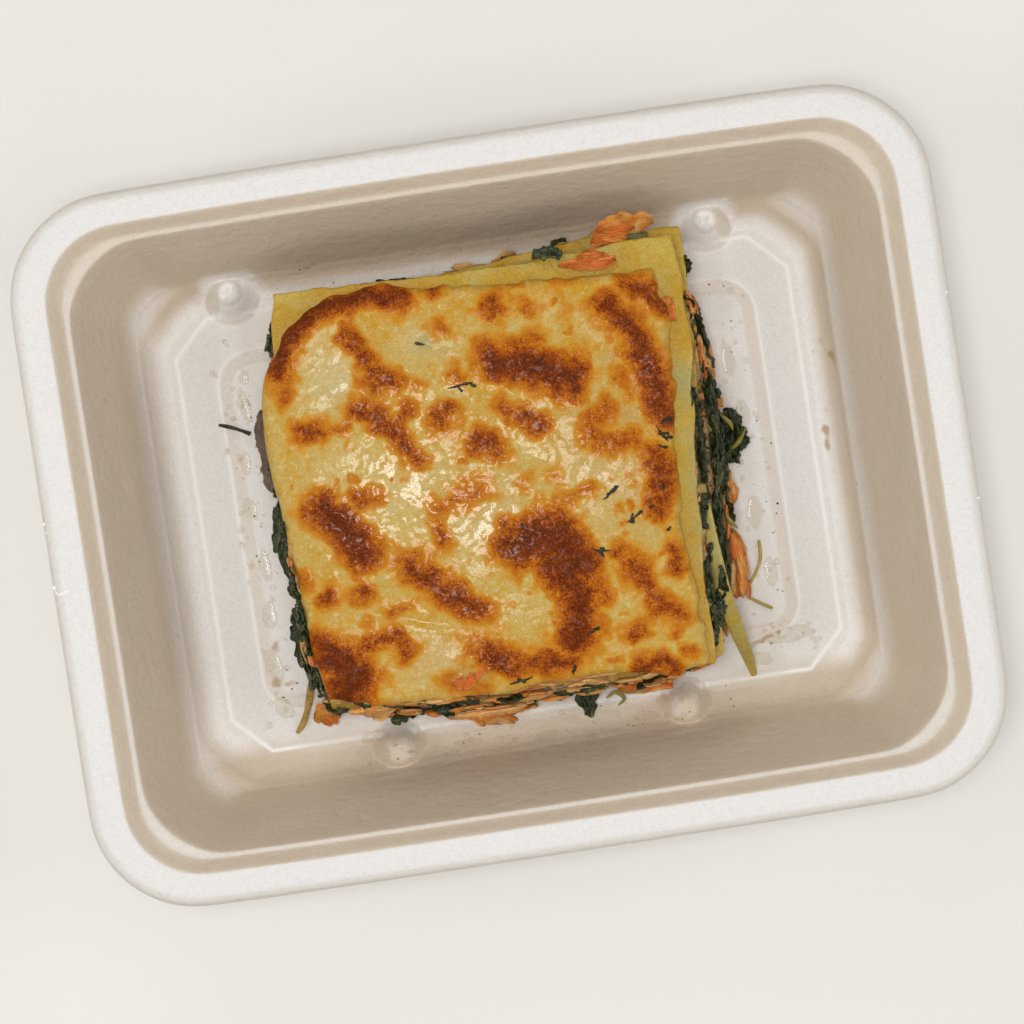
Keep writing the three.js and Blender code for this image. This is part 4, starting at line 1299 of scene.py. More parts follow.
@dataclass
class BakedCheese:
    """White sauce and melted cheese over the top sheet, blistered and browned."""

    stack: Stack
    outline: Outline = CHEESE_OUTLINE
    columns: int = 270
    rows: int = 285
    edge_round: float = 2.6
    crinkle: float = 0.35
    swells: Rows = (
        (8, -14, 12, 9, 0, 0.9), (9, 31, 12, 7, -20, 0.8), (-41, -3, 11, 5, -50, 0.7),
        (-26, 28, 16, 5, -65, 0.6), (-47, -34, 9, 8, 0, 0.7), (-16, -23, 13, 5, -45, 0.6),
        (39, 27, 14, 5, -75, 0.6), (-35, 52, 15, 4, 5, 0.5), (24, 13, 8, 7, 0, 0.4),
        (-10, -38, 8, 7, 0, 0.5),
    )

    def relief(self, x: Array, y: Array) -> Array:
        """Height of the swells and crinkles over the layer's even top."""
        total = self.crinkle * np.sin(x / 4.7 + np.sin(y / 6)) * np.cos(y / 5.3)
        for cx, cy, across, length, turn, rise in self.swells:
            c, s = cos_sin(turn)
            u = ((x - cx) * c + (y - cy) * s) / across
            v = ((y - cy) * c - (x - cx) * s) / length
            total = total + rise * np.exp(-(u * u + v * v))
        flat = np.stack([x, y, 0 * x], 1)
        wander = flat[:, :2] + 0.7 * np.stack([noise(flat, 7.0, 51), noise(flat, 7.0, 52)], 1)
        for run, depth in CREASES:
            away = self.distance(wander, np.array(run, float))
            total = total - depth * np.exp(-((away / 1.1) ** 2))
        return total

    @staticmethod
    def distance(flat: Array, spots: Array) -> Array:
        """How far places are from a run of spots, all in the plane."""
        nearest = np.full(len(flat), 1e9)
        for start, end in zip(spots, spots[1:]):
            way = end - start
            share = np.clip((flat - start) @ way / max(way @ way, 1e-9), 0, 1)
            nearest = np.minimum(nearest, np.linalg.norm(flat - start - share[:, None] * way, axis=1))
        return nearest

    def browning(self, places: Points) -> Array:
        """How brown each place of the cheese is.

        Args:
            places: Points of the cheese.

        Returns:
            Values from 0, cream, to 1, dark brown.
        """
        flat = places[:, :2].copy()
        for axis in (0, 1):
            flat[:, axis] += 1.5 * noise(places, 6.0, 1 + axis) + 0.8 * noise(places, 2.6, 3 + axis)
        ragged = 1.5 * fractal(places, 4.5, 3, 5) + 0.3 * noise(places, 1.3, 6)
        brown = np.zeros(len(places))
        for run, reach, strength in PATCHES:
            spots = lifted(np.array(run, float), 41.0)
            if len(spots) == 1:
                spots = np.repeat(spots, 2, axis=0)
            depth = reach + 0.3 - self.distance(flat, spots) + ragged
            core = 0.74 * strength * smoothstep(-1.6, 0.7 * reach + 1.6, depth)
            halo = 0.26 * strength * smoothstep(-3.6, 0.4, depth + 2.0 * noise(places, 2.8, 8))
            brown = np.maximum(brown, core + halo)
        random = np.random.default_rng(19)
        for x, y, across, length, count in FRECKLES:
            for _ in range(count):
                spot = lifted(np.array((x, y)) + random.uniform(-1, 1, 2) * (across, length), 41.0)
                away = np.linalg.norm(flat - spot, axis=1) - random.uniform(0.3, 1.1)
                speck = random.uniform(0.2, 0.42) * smoothstep(1.2, -0.4, away - 0.4 * ragged)
                brown = np.maximum(brown, speck)
        return brown

    def area(self, flat: Points, spots: Sequence[Sequence[float]]) -> Array:
        """Blends soft areas together.

        Args:
            flat: Points of the cheese, all at height 0.
            spots: Middles, half sizes and strengths.

        Returns:
            Values from 0 to 1.
        """
        total = np.zeros(len(flat))
        warp = 3.0 * np.stack([noise(flat, 9.0, 31), noise(flat, 9.0, 32)], 1)
        for x, y, across, length, strength in spots:
            away = ((flat[:, :2] + warp - (x, y)) / (across, length)) ** 2
            total = np.maximum(total, strength * np.exp(-away.sum(axis=1)))
        return np.clip(total * (1 + 0.5 * fractal(flat, 4.0, 3, 33)), 0, 1)

    def build(self, kitchen: Kitchen) -> Piece:
        """Makes the cheese.

        Args:
            kitchen: The finishes.

        Returns:
            The piece.
        """
        low, high = self.stack.heights()[-1]
        bm = bmesh.new()
        top = bmesh.ops.create_grid(bm, x_segments=self.columns, y_segments=self.rows, size=1)["verts"]
        square = np.array([vert.co for vert in top])
        x, y = self.outline.place(square[:, 0], square[:, 1])
        u, v = square[:, 0], square[:, 1]
        flat = np.stack([x, y, np.zeros_like(x)], 1)
        x = x + np.abs(u) ** 9 * (1.1 * noise(flat, 8.0, 41) + 0.9 * noise(flat, 2.5, 42) * (u > -0.5))
        y = y + np.abs(v) ** 9 * (0.9 * noise(flat, 8.0, 43) + 0.6 * noise(flat, 2.5, 44))
        flat = np.stack([x, y, np.zeros_like(x)], 1)
        half_x, half_y = 48.0, 51.0
        inset = np.minimum((1 - np.abs(u)) * half_x, (1 - np.abs(v)) * half_y)
        inset = np.maximum(inset, 0)
        fall = 1 - np.sqrt(np.clip(1 - (1 - np.clip(inset / self.edge_round, 0, 1)) ** 2, 0, 1))
        floor = self.stack.surface(low, x, y)
        level = self.stack.surface(high, x, y) + self.relief(x, y)
        brown = self.browning(flat)
        level += 0.35 * fractal(flat, 8.0, 2, 9) + 0.22 * fractal(flat, 3.0, 3, 11)
        level += smoothstep(0.1, 0.6, brown) * (0.3 + 0.35 * fractal(flat, 1.9, 2, 13))
        level += (0.03 + 0.06 * self.area(flat, SAUCE_AREAS["gloss"])) * fractal(flat @ TILT, 1.2, 2, 17)
        z = level - fall * (level - floor) * 0.72
        for vert, spot in zip(top, np.stack([x, y, z], 1)):
            vert.co = spot
        skirt, hem = drawn_out(bm, [edge for edge in bm.edges if edge.is_boundary])
        places = np.array([vert.co for vert in skirt])
        feet = self.stack.surface(low, places[:, 0], places[:, 1])
        for vert, foot in zip(skirt, feet):
            vert.co.z = foot
        bmesh.ops.contextual_create(bm, geom=hem)
        mesh = mesh_of(bm, "baked_cheese")
        places = places_of(mesh)
        flat = places * (1, 1, 0)
        paint_points(mesh, "browning", self.browning(flat))
        for name, spots in SAUCE_AREAS.items():
            paint_points(mesh, name, self.area(flat, spots))
        return serve("cheese_baked", mesh, kitchen.cheese, ["cheese_crust"])


@dataclass
class PastaSheet:
    """One boiled sheet, with a slightly ruffled edge."""

    name: str
    index: int
    stack: Stack
    ruffle: float = 0.8

    def build(self, kitchen: Kitchen) -> Piece:
        """Makes the sheet.

        Args:
            kitchen: The finishes.

        Returns:
            The piece.
        """
        outline = SHEET_OUTLINES[self.name]
        low, high = self.stack.heights()[self.index]

        def place(u: Array, v: Array, w: Array) -> Points:
            """Lays the sheet out on its filling."""
            x, y = outline.place(u, v)
            flat = np.stack([x, y, np.full_like(x, 10.0 * self.index)], 1)
            x = x + self.ruffle * (noise(flat, 9.0, 2) + 0.5 * noise(flat, 2.4, 5)) * np.abs(u) ** 8
            y = y + self.ruffle * (noise(flat, 9.0, 3) + 0.5 * noise(flat, 2.4, 6)) * np.abs(v) ** 8
            edge = smoothstep(0.9, 1.0, np.maximum(np.abs(u), np.abs(v)))
            thin = 0.5 + (w - 0.5) * (1 - 0.45 * edge)
            level = self.stack.surface(low + (high - low) * thin, x, y)
            return np.stack([x, y, level + edge * 0.5 * noise(flat, 5.0, 7)], 1)

        def tone(u: Array, v: Array, w: Array) -> Array:
            """Ochre in places."""
            return 0.35 + 0.5 * fractal(place(u, v, w), 30.0, 2, self.index)

        def green(u: Array, v: Array, w: Array) -> Array:
            """Spinach showing through by the right edge."""
            x, y, _ = place(u, v, w).T
            spots = ((46.5, 21.8, 2.2, 4.4, 0.9), (47.0, -8, 4, 26, 0.8), (12, 56, 20, 2.5, 0.4))
            return sum(s * np.exp(-(((x - cx) / a) ** 2) - ((y - cy) / b) ** 2) for cx, cy, a, b, s in spots)

        bm = bmesh.new()
        add_block(bm, 76, 76, 1, place, {"tone": tone, "green": green})
        return rounded(serve(f"{self.name}_boiled", bm, kitchen.pasta, [self.name]), 1)


@dataclass(frozen=True)
class Berth:
    """A place for a piece: its middle, and three directions with their half sizes."""

    middle: Array
    length: Array
    width: Array
    depth: Array

    @staticmethod
    def on_side(
        spot: Array, way: Array, out: Array, size: tuple[float, float, float], tilt: float
    ) -> "Berth":
        """Makes a place on a side of the stack.

        Args:
            spot: Its middle.
            way: Unit vector along the side.
            out: Unit vector out of the side.
            size: Length, height and depth.
            tilt: How far the length leans upwards, in radians.

        Returns:
            The berth.
        """
        up = np.array((0, 0, 1.0))
        length = math.cos(tilt) * way + math.sin(tilt) * up
        width = math.cos(tilt) * up - math.sin(tilt) * way
        return Berth(spot, size[0] / 2 * length, size[1] / 2 * width, size[2] / 2 * out)

    @staticmethod
    def of_node(name: str) -> "Berth":
        """The berth of a node: its longest side along, its shortest one facing up or outwards."""
        low, high = (np.array(corner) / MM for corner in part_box(name))
        middle, half = (low + high) / 2, (high - low) / 2
        order = np.argsort(-half)
        axes = [half[axis] * np.eye(3)[axis] for axis in order]
        outward = 1.0 if order[2] == 2 or middle[order[2]] > 0 else -1.0
        return Berth(middle, axes[0], axes[1], outward * axes[2])

    def hugging(self, pull: float, reach: float) -> "Berth":
        """Makes the berth reach in to the stack, and end a little nearer to it.

        Args:
            pull: How far its outer face moves in.
            reach: How far its inner face moves in.

        Returns:
            The berth.
        """
        if max(abs(self.middle[0]) / 54, abs(self.middle[1] + 1) / 54) < 0.9 or self.middle[2] > 34:
            return self
        axis = 0 if abs(self.middle[0]) - 54 > abs(self.middle[1] + 1) - 52 else 1
        inward = np.zeros(3)
        inward[axis] = -np.sign(self.middle[axis])
        ways = [self.length, self.width, self.depth]
        for i, way in enumerate(ways):
            if np.argmax(np.abs(way)) == axis:
                size = np.linalg.norm(way)
                ways[i] = way * (size + (reach - pull) / 2) / size
        return Berth(self.middle + inward * (reach + pull) / 2, *ways)

    def turned(
        self, random: np.random.Generator, roll: float, yaw: float, size: float, flat: float
    ) -> "Berth":
        """Makes a smaller berth inside this one, turned at random.

        Args:
            random: Source of the turn and the place.
            roll: Most turn about its length, in radians.
            yaw: Most turn about its depth.
            size: Its size as a share of this one.
            flat: Its half depth in millimetres.

        Returns:
            The berth.
        """
        half = np.array([max(np.linalg.norm(way), 1e-6) for way in (self.length, self.width, self.depth)])
        frame = np.array([self.length, self.width, self.depth]) / half[:, None]
        spin, swing = random.uniform(-roll, roll), random.uniform(-yaw, yaw)
        across = math.cos(spin) * frame[1] + math.sin(spin) * frame[2]
        normal = math.cos(spin) * frame[2] - math.sin(spin) * frame[1]
        ahead = math.cos(swing) * frame[0] + math.sin(swing) * across
        across = math.cos(swing) * across - math.sin(swing) * frame[0]
        reach = [1 / np.linalg.norm(frame @ way / half) for way in (ahead, across)]
        shift = (random.uniform(-1, 1, 3) * (1 - size) * half) @ frame
        return Berth(self.middle + shift, size * reach[0] * ahead, size * reach[1] * across, flat * normal)

    def place(self, a: Array, b: Array, c: Array) -> Points:
        """Puts shares of the three directions, from -1 to 1, into the frame."""
        return self.middle + a[:, None] * self.length + b[:, None] * self.width + c[:, None] * self.depth


@dataclass
class SalmonShard:
    """One leaf of cooked salmon: thin, bent, fibrous across and torn along its edges."""

    berth: Berth
    seed: int
    tone: float = 0.6
    columns: int = 26
    rows: int = 9

    def add_to(self, bm: BuildMesh) -> None:
        """Adds the shard to a mesh."""
        random = np.random.default_rng(self.seed)
        upper, lower = (0.8 + random.uniform(-0.2, 0.2, 7) for _ in range(2))
        strands = random.uniform(-0.1, 0.06, (2, self.rows + 1))
        bend, sway = random.uniform(-0.7, 0.7), random.uniform(-0.25, 0.25, 5)
        taper, skew = random.uniform(1.6, 4.0, 2), random.uniform(-0.35, 0.35)
        half, broad = np.linalg.norm(self.berth.length), np.linalg.norm(self.berth.width)
        fibres, slant = broad / random.uniform(0.4, 0.6), random.uniform(-0.5, 0.5)

        def fibre(u: Array, v: Array) -> Array:
            """Height of the strands along the shard."""
            wobble = 0.8 * noise(np.stack([u * half, v * broad, 0 * u + self.seed], 1), 2.6, 7)
            return np.sin(math.pi * (v * fibres + slant * u * 2 + wobble))

        def place(u: Array, v: Array, w: Array) -> Points:
            """Shapes the slab into the shard."""
            ends = np.where(u > 0, taper[0], taper[1])
            nicks = 1 + 0.2 * noise(np.stack([u * half, np.sign(v) * 9, 0 * u], 1), 1.1, self.seed % 50)
            edge = np.where(v > 0, along(upper, u), along(lower, u))
            half_width = (1 - 0.75 * np.abs(u) ** ends) * nicks * edge
            b = v * half_width + along(sway, u)
            row = np.clip(np.round((v + 1) / 2 * self.rows), 0, self.rows).astype(int)
            fray = np.where(u > 0, strands[0][row], strands[1][row]) * np.abs(u) ** 3
            rim = np.maximum(np.abs(u), np.abs(v))
            thick = 0.16 + 0.84 * np.sqrt(np.clip(1 - rim**3, 0, 1))
            bow = bend * (u * u - 0.4) + 0.3 * bend * u * v
            spots = self.berth.place(u * (1 + fray) + skew * v * 0.3, b, (2 * w - 1) * thick)
            spots += (bow * 0.25 * broad)[:, None] * self.up()
            grain = 0.09 * fibre(u, v) + 0.3 * fractal(spots, 2.4, 3, self.seed)
            return spots + grain[:, None] * self.up()

        def toned(u: Array, v: Array, w: Array) -> Array:
            """Deeper orange in places."""
            return self.tone + 0.45 * fractal(place(u, v, w), 4.0, 3, self.seed + 3) - 0.1 * fibre(u, v)

        def seam(u: Array, v: Array, w: Array) -> Array:
            """Pale between the strands and where the shard is torn."""
            gaps = 0.35 * smoothstep(-0.3, -0.95, fibre(u, v))
            return np.maximum(gaps, 0.4 * smoothstep(0.88, 1.0, np.abs(v)))

        def strand(u: Array, v: Array, w: Array) -> Array:
            """Counts the fine fibres across the shard."""
            return v * broad / 0.42 + slant * u * half * 0.5

        add_block(bm, self.columns, self.rows, 2, place, {"tone": toned, "seam": seam, "strand": strand})

    def up(self) -> Array:
        """The direction that the shard faces."""
        return self.berth.depth / max(np.linalg.norm(self.berth.depth), 1e-6)


@dataclass
class WiltedLeaf:
    """A wilted spinach leaf: thin, crumpled and folded on itself."""

    berth: Berth
    seed: int
    thickness: float = 0.3
    columns: int = 34
    rows: int = 12
    crumple: float = 1.0

    def add_to(self, bm: BuildMesh) -> None:
        """Adds the leaf to a mesh."""
        random = np.random.default_rng(self.seed)
        upper, lower = (0.75 + random.uniform(-0.35, 0.25, 9) for _ in range(2))
        bend, phase = random.uniform(-0.5, 0.5, 5), random.uniform(0, 6, 3)
        half = np.linalg.norm(self.berth.width)
        facing = self.berth.depth / max(np.linalg.norm(self.berth.depth), 1e-6)

        def place(u: Array, v: Array, w: Array) -> Points:
            """Crumples the slab into the leaf."""
            round_end = 0.15 + 0.85 * np.sqrt(np.clip(1 - u * u, 0, 1))
            edge = np.where(v > 0, along(upper, u), along(lower, u))
            b = v * round_end * edge + 0.12 * np.sin(3.2 * u + phase[0])
            fold = 0.5 * np.sin(6 * u + 2.2 * v + phase[1]) + 0.4 * np.sin(6 * v + 2 * u + phase[2])
            fold = fold + along(bend, u)
            spots = self.berth.place(0.97 * u, b, np.zeros_like(u))
            rough = 0.9 * self.crumple * fractal(spots, 2.2, 3, self.seed)
            lift = 0.3 * min(half, 3.0) * fold * self.crumple + rough
            return spots + (lift + (w - 0.5) * self.thickness)[:, None] * facing

        def stalk(u: Array, v: Array, w: Array) -> Array:
            """The leaf's midrib."""
            return 0.5 * np.exp(-((v / 0.1) ** 2)) * (0.4 - 0.6 * u).clip(0, 1)

        add_block(bm, self.columns, self.rows, 1, place, {"stalk": stalk})


def heap_of_shards(bm: BuildMesh, berth: Berth, count: int, tone: float, seed: int, fine: int = 26) -> None:
    """Fills a berth with overlapping shards of salmon.

    Args:
        bm: The mesh that they go into.
        berth: The space that they fill.
        count: How many there are.
        tone: From 0, pale beige, to 1, deep orange.
        seed: Which of many heaps.
        fine: Faces along each shard.
    """
    random = np.random.default_rng(seed)
    half_depth = np.linalg.norm(berth.depth)
    for i in range(count):
        size = random.uniform(0.78, 0.92) if i == 0 else random.uniform(0.4, 0.8)
        flat = half_depth * (0.3 if i == 0 else random.uniform(0.12, 0.28))
        roll, yaw = (0.3, 0.12) if i == 0 else (1.0, 0.6)
        spot = berth.turned(random, roll, yaw, size, min(max(flat, 0.45), 1.5))
        SalmonShard(spot, seed * 7 + i, tone + random.uniform(-0.3, 0.3), fine, 10).add_to(bm)


@dataclass
class Filling:
    """One layer of salmon, spinach and white sauce, with flakes and leaves sticking out of its sides."""

    name: str
    index: int
    stack: Stack
    flakes: int = 30
    folds: int = 34

    def edge_point(self, share: float, reach: float) -> tuple[Array, Array, Array]:
        """Finds a place on the filling's side.

        Args:
            share: How far round the four sides it is, from 0 to 1.
            reach: How far out of the side, in millimetres.

        Returns:
            The place, and unit vectors along the side and outwards.
        """
        side, part = divmod(share * 4, 1)
        t = (2 * part - 1) * 0.96
        t, one = np.array([t, t + SIDE_STEP]), np.ones(2)
        u, v = [(t, -one), (one, t), (-t, one), (-one, -t)][int(side) % 4]
        here, there = np.array(FILLING_OUTLINES[self.name].place(u, v)).T
        way = (there - here) / np.linalg.norm(there - here)
        out = np.array((way[1], -way[0]))
        return np.array((*(here + reach * out), 0.0)), np.array((*way, 0.0)), np.array((*out, 0.0))

    def core(self, kitchen: Kitchen) -> Piece:
        """Makes the filling's body.

        Args:
            kitchen: The finishes.

        Returns:
            The piece.
        """
        outline = FILLING_OUTLINES[self.name]
        low, high = self.stack.heights()[self.index]

        def place(u: Array, v: Array, w: Array) -> Points:
            """Fills the space between two sheets, with lumpy sides."""
            x, y = outline.place(u, v)
            spots = np.stack([x, y, self.stack.surface(low + (high - low) * w, x, y)], 1)
            rim = np.maximum(np.abs(u), np.abs(v)) > 0.999
            belly = np.sin(math.pi * w)
            push = rim * (0.9 * belly - 0.5 + 1.3 * fractal(spots, 4.0, 3, self.index) * belly)
            spots[:, 0] += np.sign(u) * push * np.abs(u) ** 8
            spots[:, 1] += np.sign(v) * push * np.abs(v) ** 8
            return spots

        bm = bmesh.new()
        add_block(bm, 70, 70, 7, place)
        return serve(f"{self.name}_core", bm, kitchen.filling, [self.name])

    def berth_at(self, random: np.random.Generator, share: float, size: tuple[float, float, float]) -> Berth:
        """Makes a place for a bit on the filling's side.

        Args:
            random: Source of small differences.
            share: How far round it is.
            size: Length, height and depth of the bit.

        Returns:
            The berth.
        """
        low, high = self.stack.heights()[self.index]
        tucked = (1.2, 2.4, 3.6)[self.index // 2] if 0.5 < share % 1.0 < 0.75 else 0.0
        spot, way, out = self.edge_point(share % 1.0, random.uniform(-1.4, 0.3) - tucked)
        level = low + (high - low) * random.uniform(0.3, 0.7)
        spot[2] = self.stack.surface(level, spot[0], spot[1])
        return Berth.on_side(spot, way, out, size, random.uniform(-0.35, 0.35))

    def build(self, kitchen: Kitchen) -> None:
        """Makes the filling's core, its flakes and its leaves.

        Args:
            kitchen: The finishes.
        """
        self.core(kitchen)
        low, high = self.stack.heights()[self.index]
        tall = high - low
        random = np.random.default_rng(40 + self.index)
        fish = bmesh.new()
        for i in range(self.flakes):
            size = (random.uniform(7, 15), tall * random.uniform(0.4, 0.75), random.uniform(3.0, 5.0))
            berth = self.berth_at(random, (i + random.uniform(0, 0.8)) / self.flakes, size)
            tone = random.uniform(0.15, 0.75)
            heap_of_shards(fish, berth, 3, tone, 100 * self.index + i, 14)
        serve(f"{self.name}_salmon", fish, kitchen.salmon)
        greens = bmesh.new()
        for i in range(self.folds):
            size = (random.uniform(8, 16), tall * random.uniform(0.3, 0.6), random.uniform(1.6, 3.0))
            berth = self.berth_at(random, (i + random.uniform(0, 0.8)) / self.folds, size)
            WiltedLeaf(berth, 300 * self.index + i, 0.3, 22, 7, 0.8).add_to(greens)
        serve(f"{self.name}_spinach", greens, kitchen.spinach)


# Loose pieces


@dataclass
class LoosePieces:
    """The flakes, leaves, stems and strips that lie against the stack and on the tray."""

    flakes: dict[str, tuple[float, int]] = field(default_factory=lambda: {
        "salmon_front_left_corner": (0.75, 6), "salmon_front_middle": (0.65, 16),
        "salmon_front_right": (0.65, 11), "salmon_right_upper": (0.5, 9), "salmon_right_middle": (0.6, 8),
        "salmon_right_lower": (0.75, 12), "salmon_front_left": (0.15, 8), "salmon_front_strip": (0.05, 8),
        "salmon_right_bit": (0.5, 4), "salmon_back_high": (0.85, 7), "salmon_back_low": (1.4, 7),
        "salmon_right_top": (1.1, 4),
    })
    leaves: dict[str, int] = field(default_factory=lambda: {
        "spinach_left_back": 7, "spinach_left_front": 7, "spinach_front_left": 6, "spinach_front_clump": 9,
        "spinach_right_clump": 26, "spinach_right_lower": 7, "spinach_right_upper": 4,
        "spinach_right_top": 4, "spinach_back_leaf": 3, "spinach_front_right": 3,
    })
    skin: Rows = ((20.6, 11.4, 10.4, 8.4), (24.5, 12.6, 6.2, 7.6), (14.4, 11.4, 5.0, 7.0))
    fan_flakes: Rows = (
        (-5, 7.6), (-12, 7.9), (-19, 8.1), (-25, 8.3), (-31, 8.0), (-39, 6.4), (-50, 5.0),
    )

    def build(self, kitchen: Kitchen) -> None:
        """Makes every loose piece.

        Args:
            kitchen: The finishes.
        """
        for seed, (name, (tone, leaves)) in enumerate(self.flakes.items()):
            bm = bmesh.new()
            heap_of_shards(bm, Berth.of_node(name).hugging(1.6, 2.6), leaves, tone, 500 + seed)
            if name == "salmon_front_middle":
                self.fan(bm)
            serve(f"{name}_flaked", bm, kitchen.salmon, [name])
        for seed, (name, count) in enumerate(self.leaves.items()):
            self.pile(kitchen, name, count, 600 + 20 * seed)
        bm = bmesh.new()
        for i, (y, z, half, tall) in enumerate(self.skin):
            width, depth = np.array((0.42, 0, 0.91)), np.array((-0.91, 0, 0.42))
            middle = np.array((-58.6 - 0.3 * i, y, z))
            lean = Berth(middle, np.array((0, half, 0.6)), tall * width, 0.9 * depth)
            SalmonShard(lean, 703 + i, 0.5, 34, 14).add_to(bm)
        serve("salmon_skin_cooked", bm, kitchen.skin, ["salmon_skin_left"])
        self.strips(kitchen)

    def fan(self, bm: BuildMesh) -> None:
        """Spreads flakes over the tray like a fan, before the middle of the stack."""
        for i, (turn, reach) in enumerate(self.fan_flakes):
            ahead = np.array((*cos_sin(turn), -0.28))
            across = np.array((-ahead[1], ahead[0], 0.15))
            middle = np.array((-21.5, -50.4, 9.6)) + ahead * reach
            berth = Berth(middle, ahead * reach, 1.6 * across, np.array((0.2, -0.3, 0.7)))
            SalmonShard(berth, 900 + i, (0.35, 0.75)[i % 2], 26, 8).add_to(bm)

    def pile(self, kitchen: Kitchen, name: str, count: int, seed: int) -> None:
        """Heaps crumpled leaves into a node's place.

        Args:
            kitchen: The finishes.
            name: The node.
            count: How many leaves.
            seed: Source of small differences.
        """
        whole = Berth.of_node(name).hugging(1.2, 6.0 if name == "spinach_right_clump" else 2.6)
        random = np.random.default_rng(seed)
        bm = bmesh.new()
        for i in range(count):
            berth = whole.turned(random, 1.6, 0.35, random.uniform(0.55, 0.85), 0.3)
            WiltedLeaf(berth, seed + i, crumple=0.7 if i % 3 else 0.4).add_to(bm)
        serve(f"{name}_wilted", bm, kitchen.spinach, [name])

    def strips(self, kitchen: Kitchen) -> None:
        """Makes the pasta strip, the threads and the stems.

        Args:
            kitchen: The finishes.
        """
        strip = [(47.6, -4, 28.2), (48.2, -18, 27.4), (49.4, -32, 25.4), (52, -43, 18.4),
                 (54.2, -50, 9.6), (55.6, -56, 3.4)]
        upper = [(61.9, -21.4, 3.8), (61.7, -25.6, 3.8), (60.2, -29.2, 3.9), (56.8, -33.4, 4.4)]
        lower = [(57, -35.6, 4.2), (60, -37.7, 3.8), (62.9, -39.5, 3.8)]
        herb = [(-71.4, 28.9, 3), (-67.4, 27.4, 4.5), (-63.4, 25.3, 5.6)]
        front = [(-57.6, -40.4, 7.4), (-59.2, -45.5, 5), (-61.2, -50, 3.4), (-63.6, -53, 2.8)]
        back = [(30.2, 59.6, 28.4), (36, 59.4, 28.9), (43.8, 58.2, 29.4)]
        pasta = (kitchen.pasta, Slot.PASTA)
        names = ["pasta_strip_right", "pasta_thread_upper", "pasta_thread_lower", "herb_stem_left",
                 "spinach_stem_front_left", "spinach_stem_back"]
        rows = [
            (strip, (2.6, 3.6, 4.2, 4.4, 4.0, 3.2, 1.8), 0.36, 8, 40, *pasta, {"green": 0.5}),
            (upper, (0.9, 1, 0.9, 1), 0.9, 8, 14, *pasta, {"green": 0.6}),
            (lower, (0.9, 1, 0.9), 0.9, 8, 10, *pasta, {"green": 0.6}),
            (herb, (0.8, 1.2, 0.9, 1.4), 0.9, 8, 14, kitchen.herbs, Slot.SPINACH, {"stalk": 0.0}),
            (front, (2.0, 2.2, 1.7, 1.9, 1.0), 0.5, 8, 16, kitchen.stem, Slot.SPINACH, {"stalk": 0.0}),
            (back, (2.2, 3.4, 3.0), 0.6, 10, 16, kitchen.spinach, Slot.SPINACH, {"stalk": 0.35}),
        ]
        for name, (route, widths, flatness, sides, steps, finish, slot, paint) in zip(names, rows):
            bm = bmesh.new()
            add_tube(bm, route, widths, flatness, sides, steps, paint)
            rounded(serve(f"{name}_cooked", bm, finish, [name]), 1)


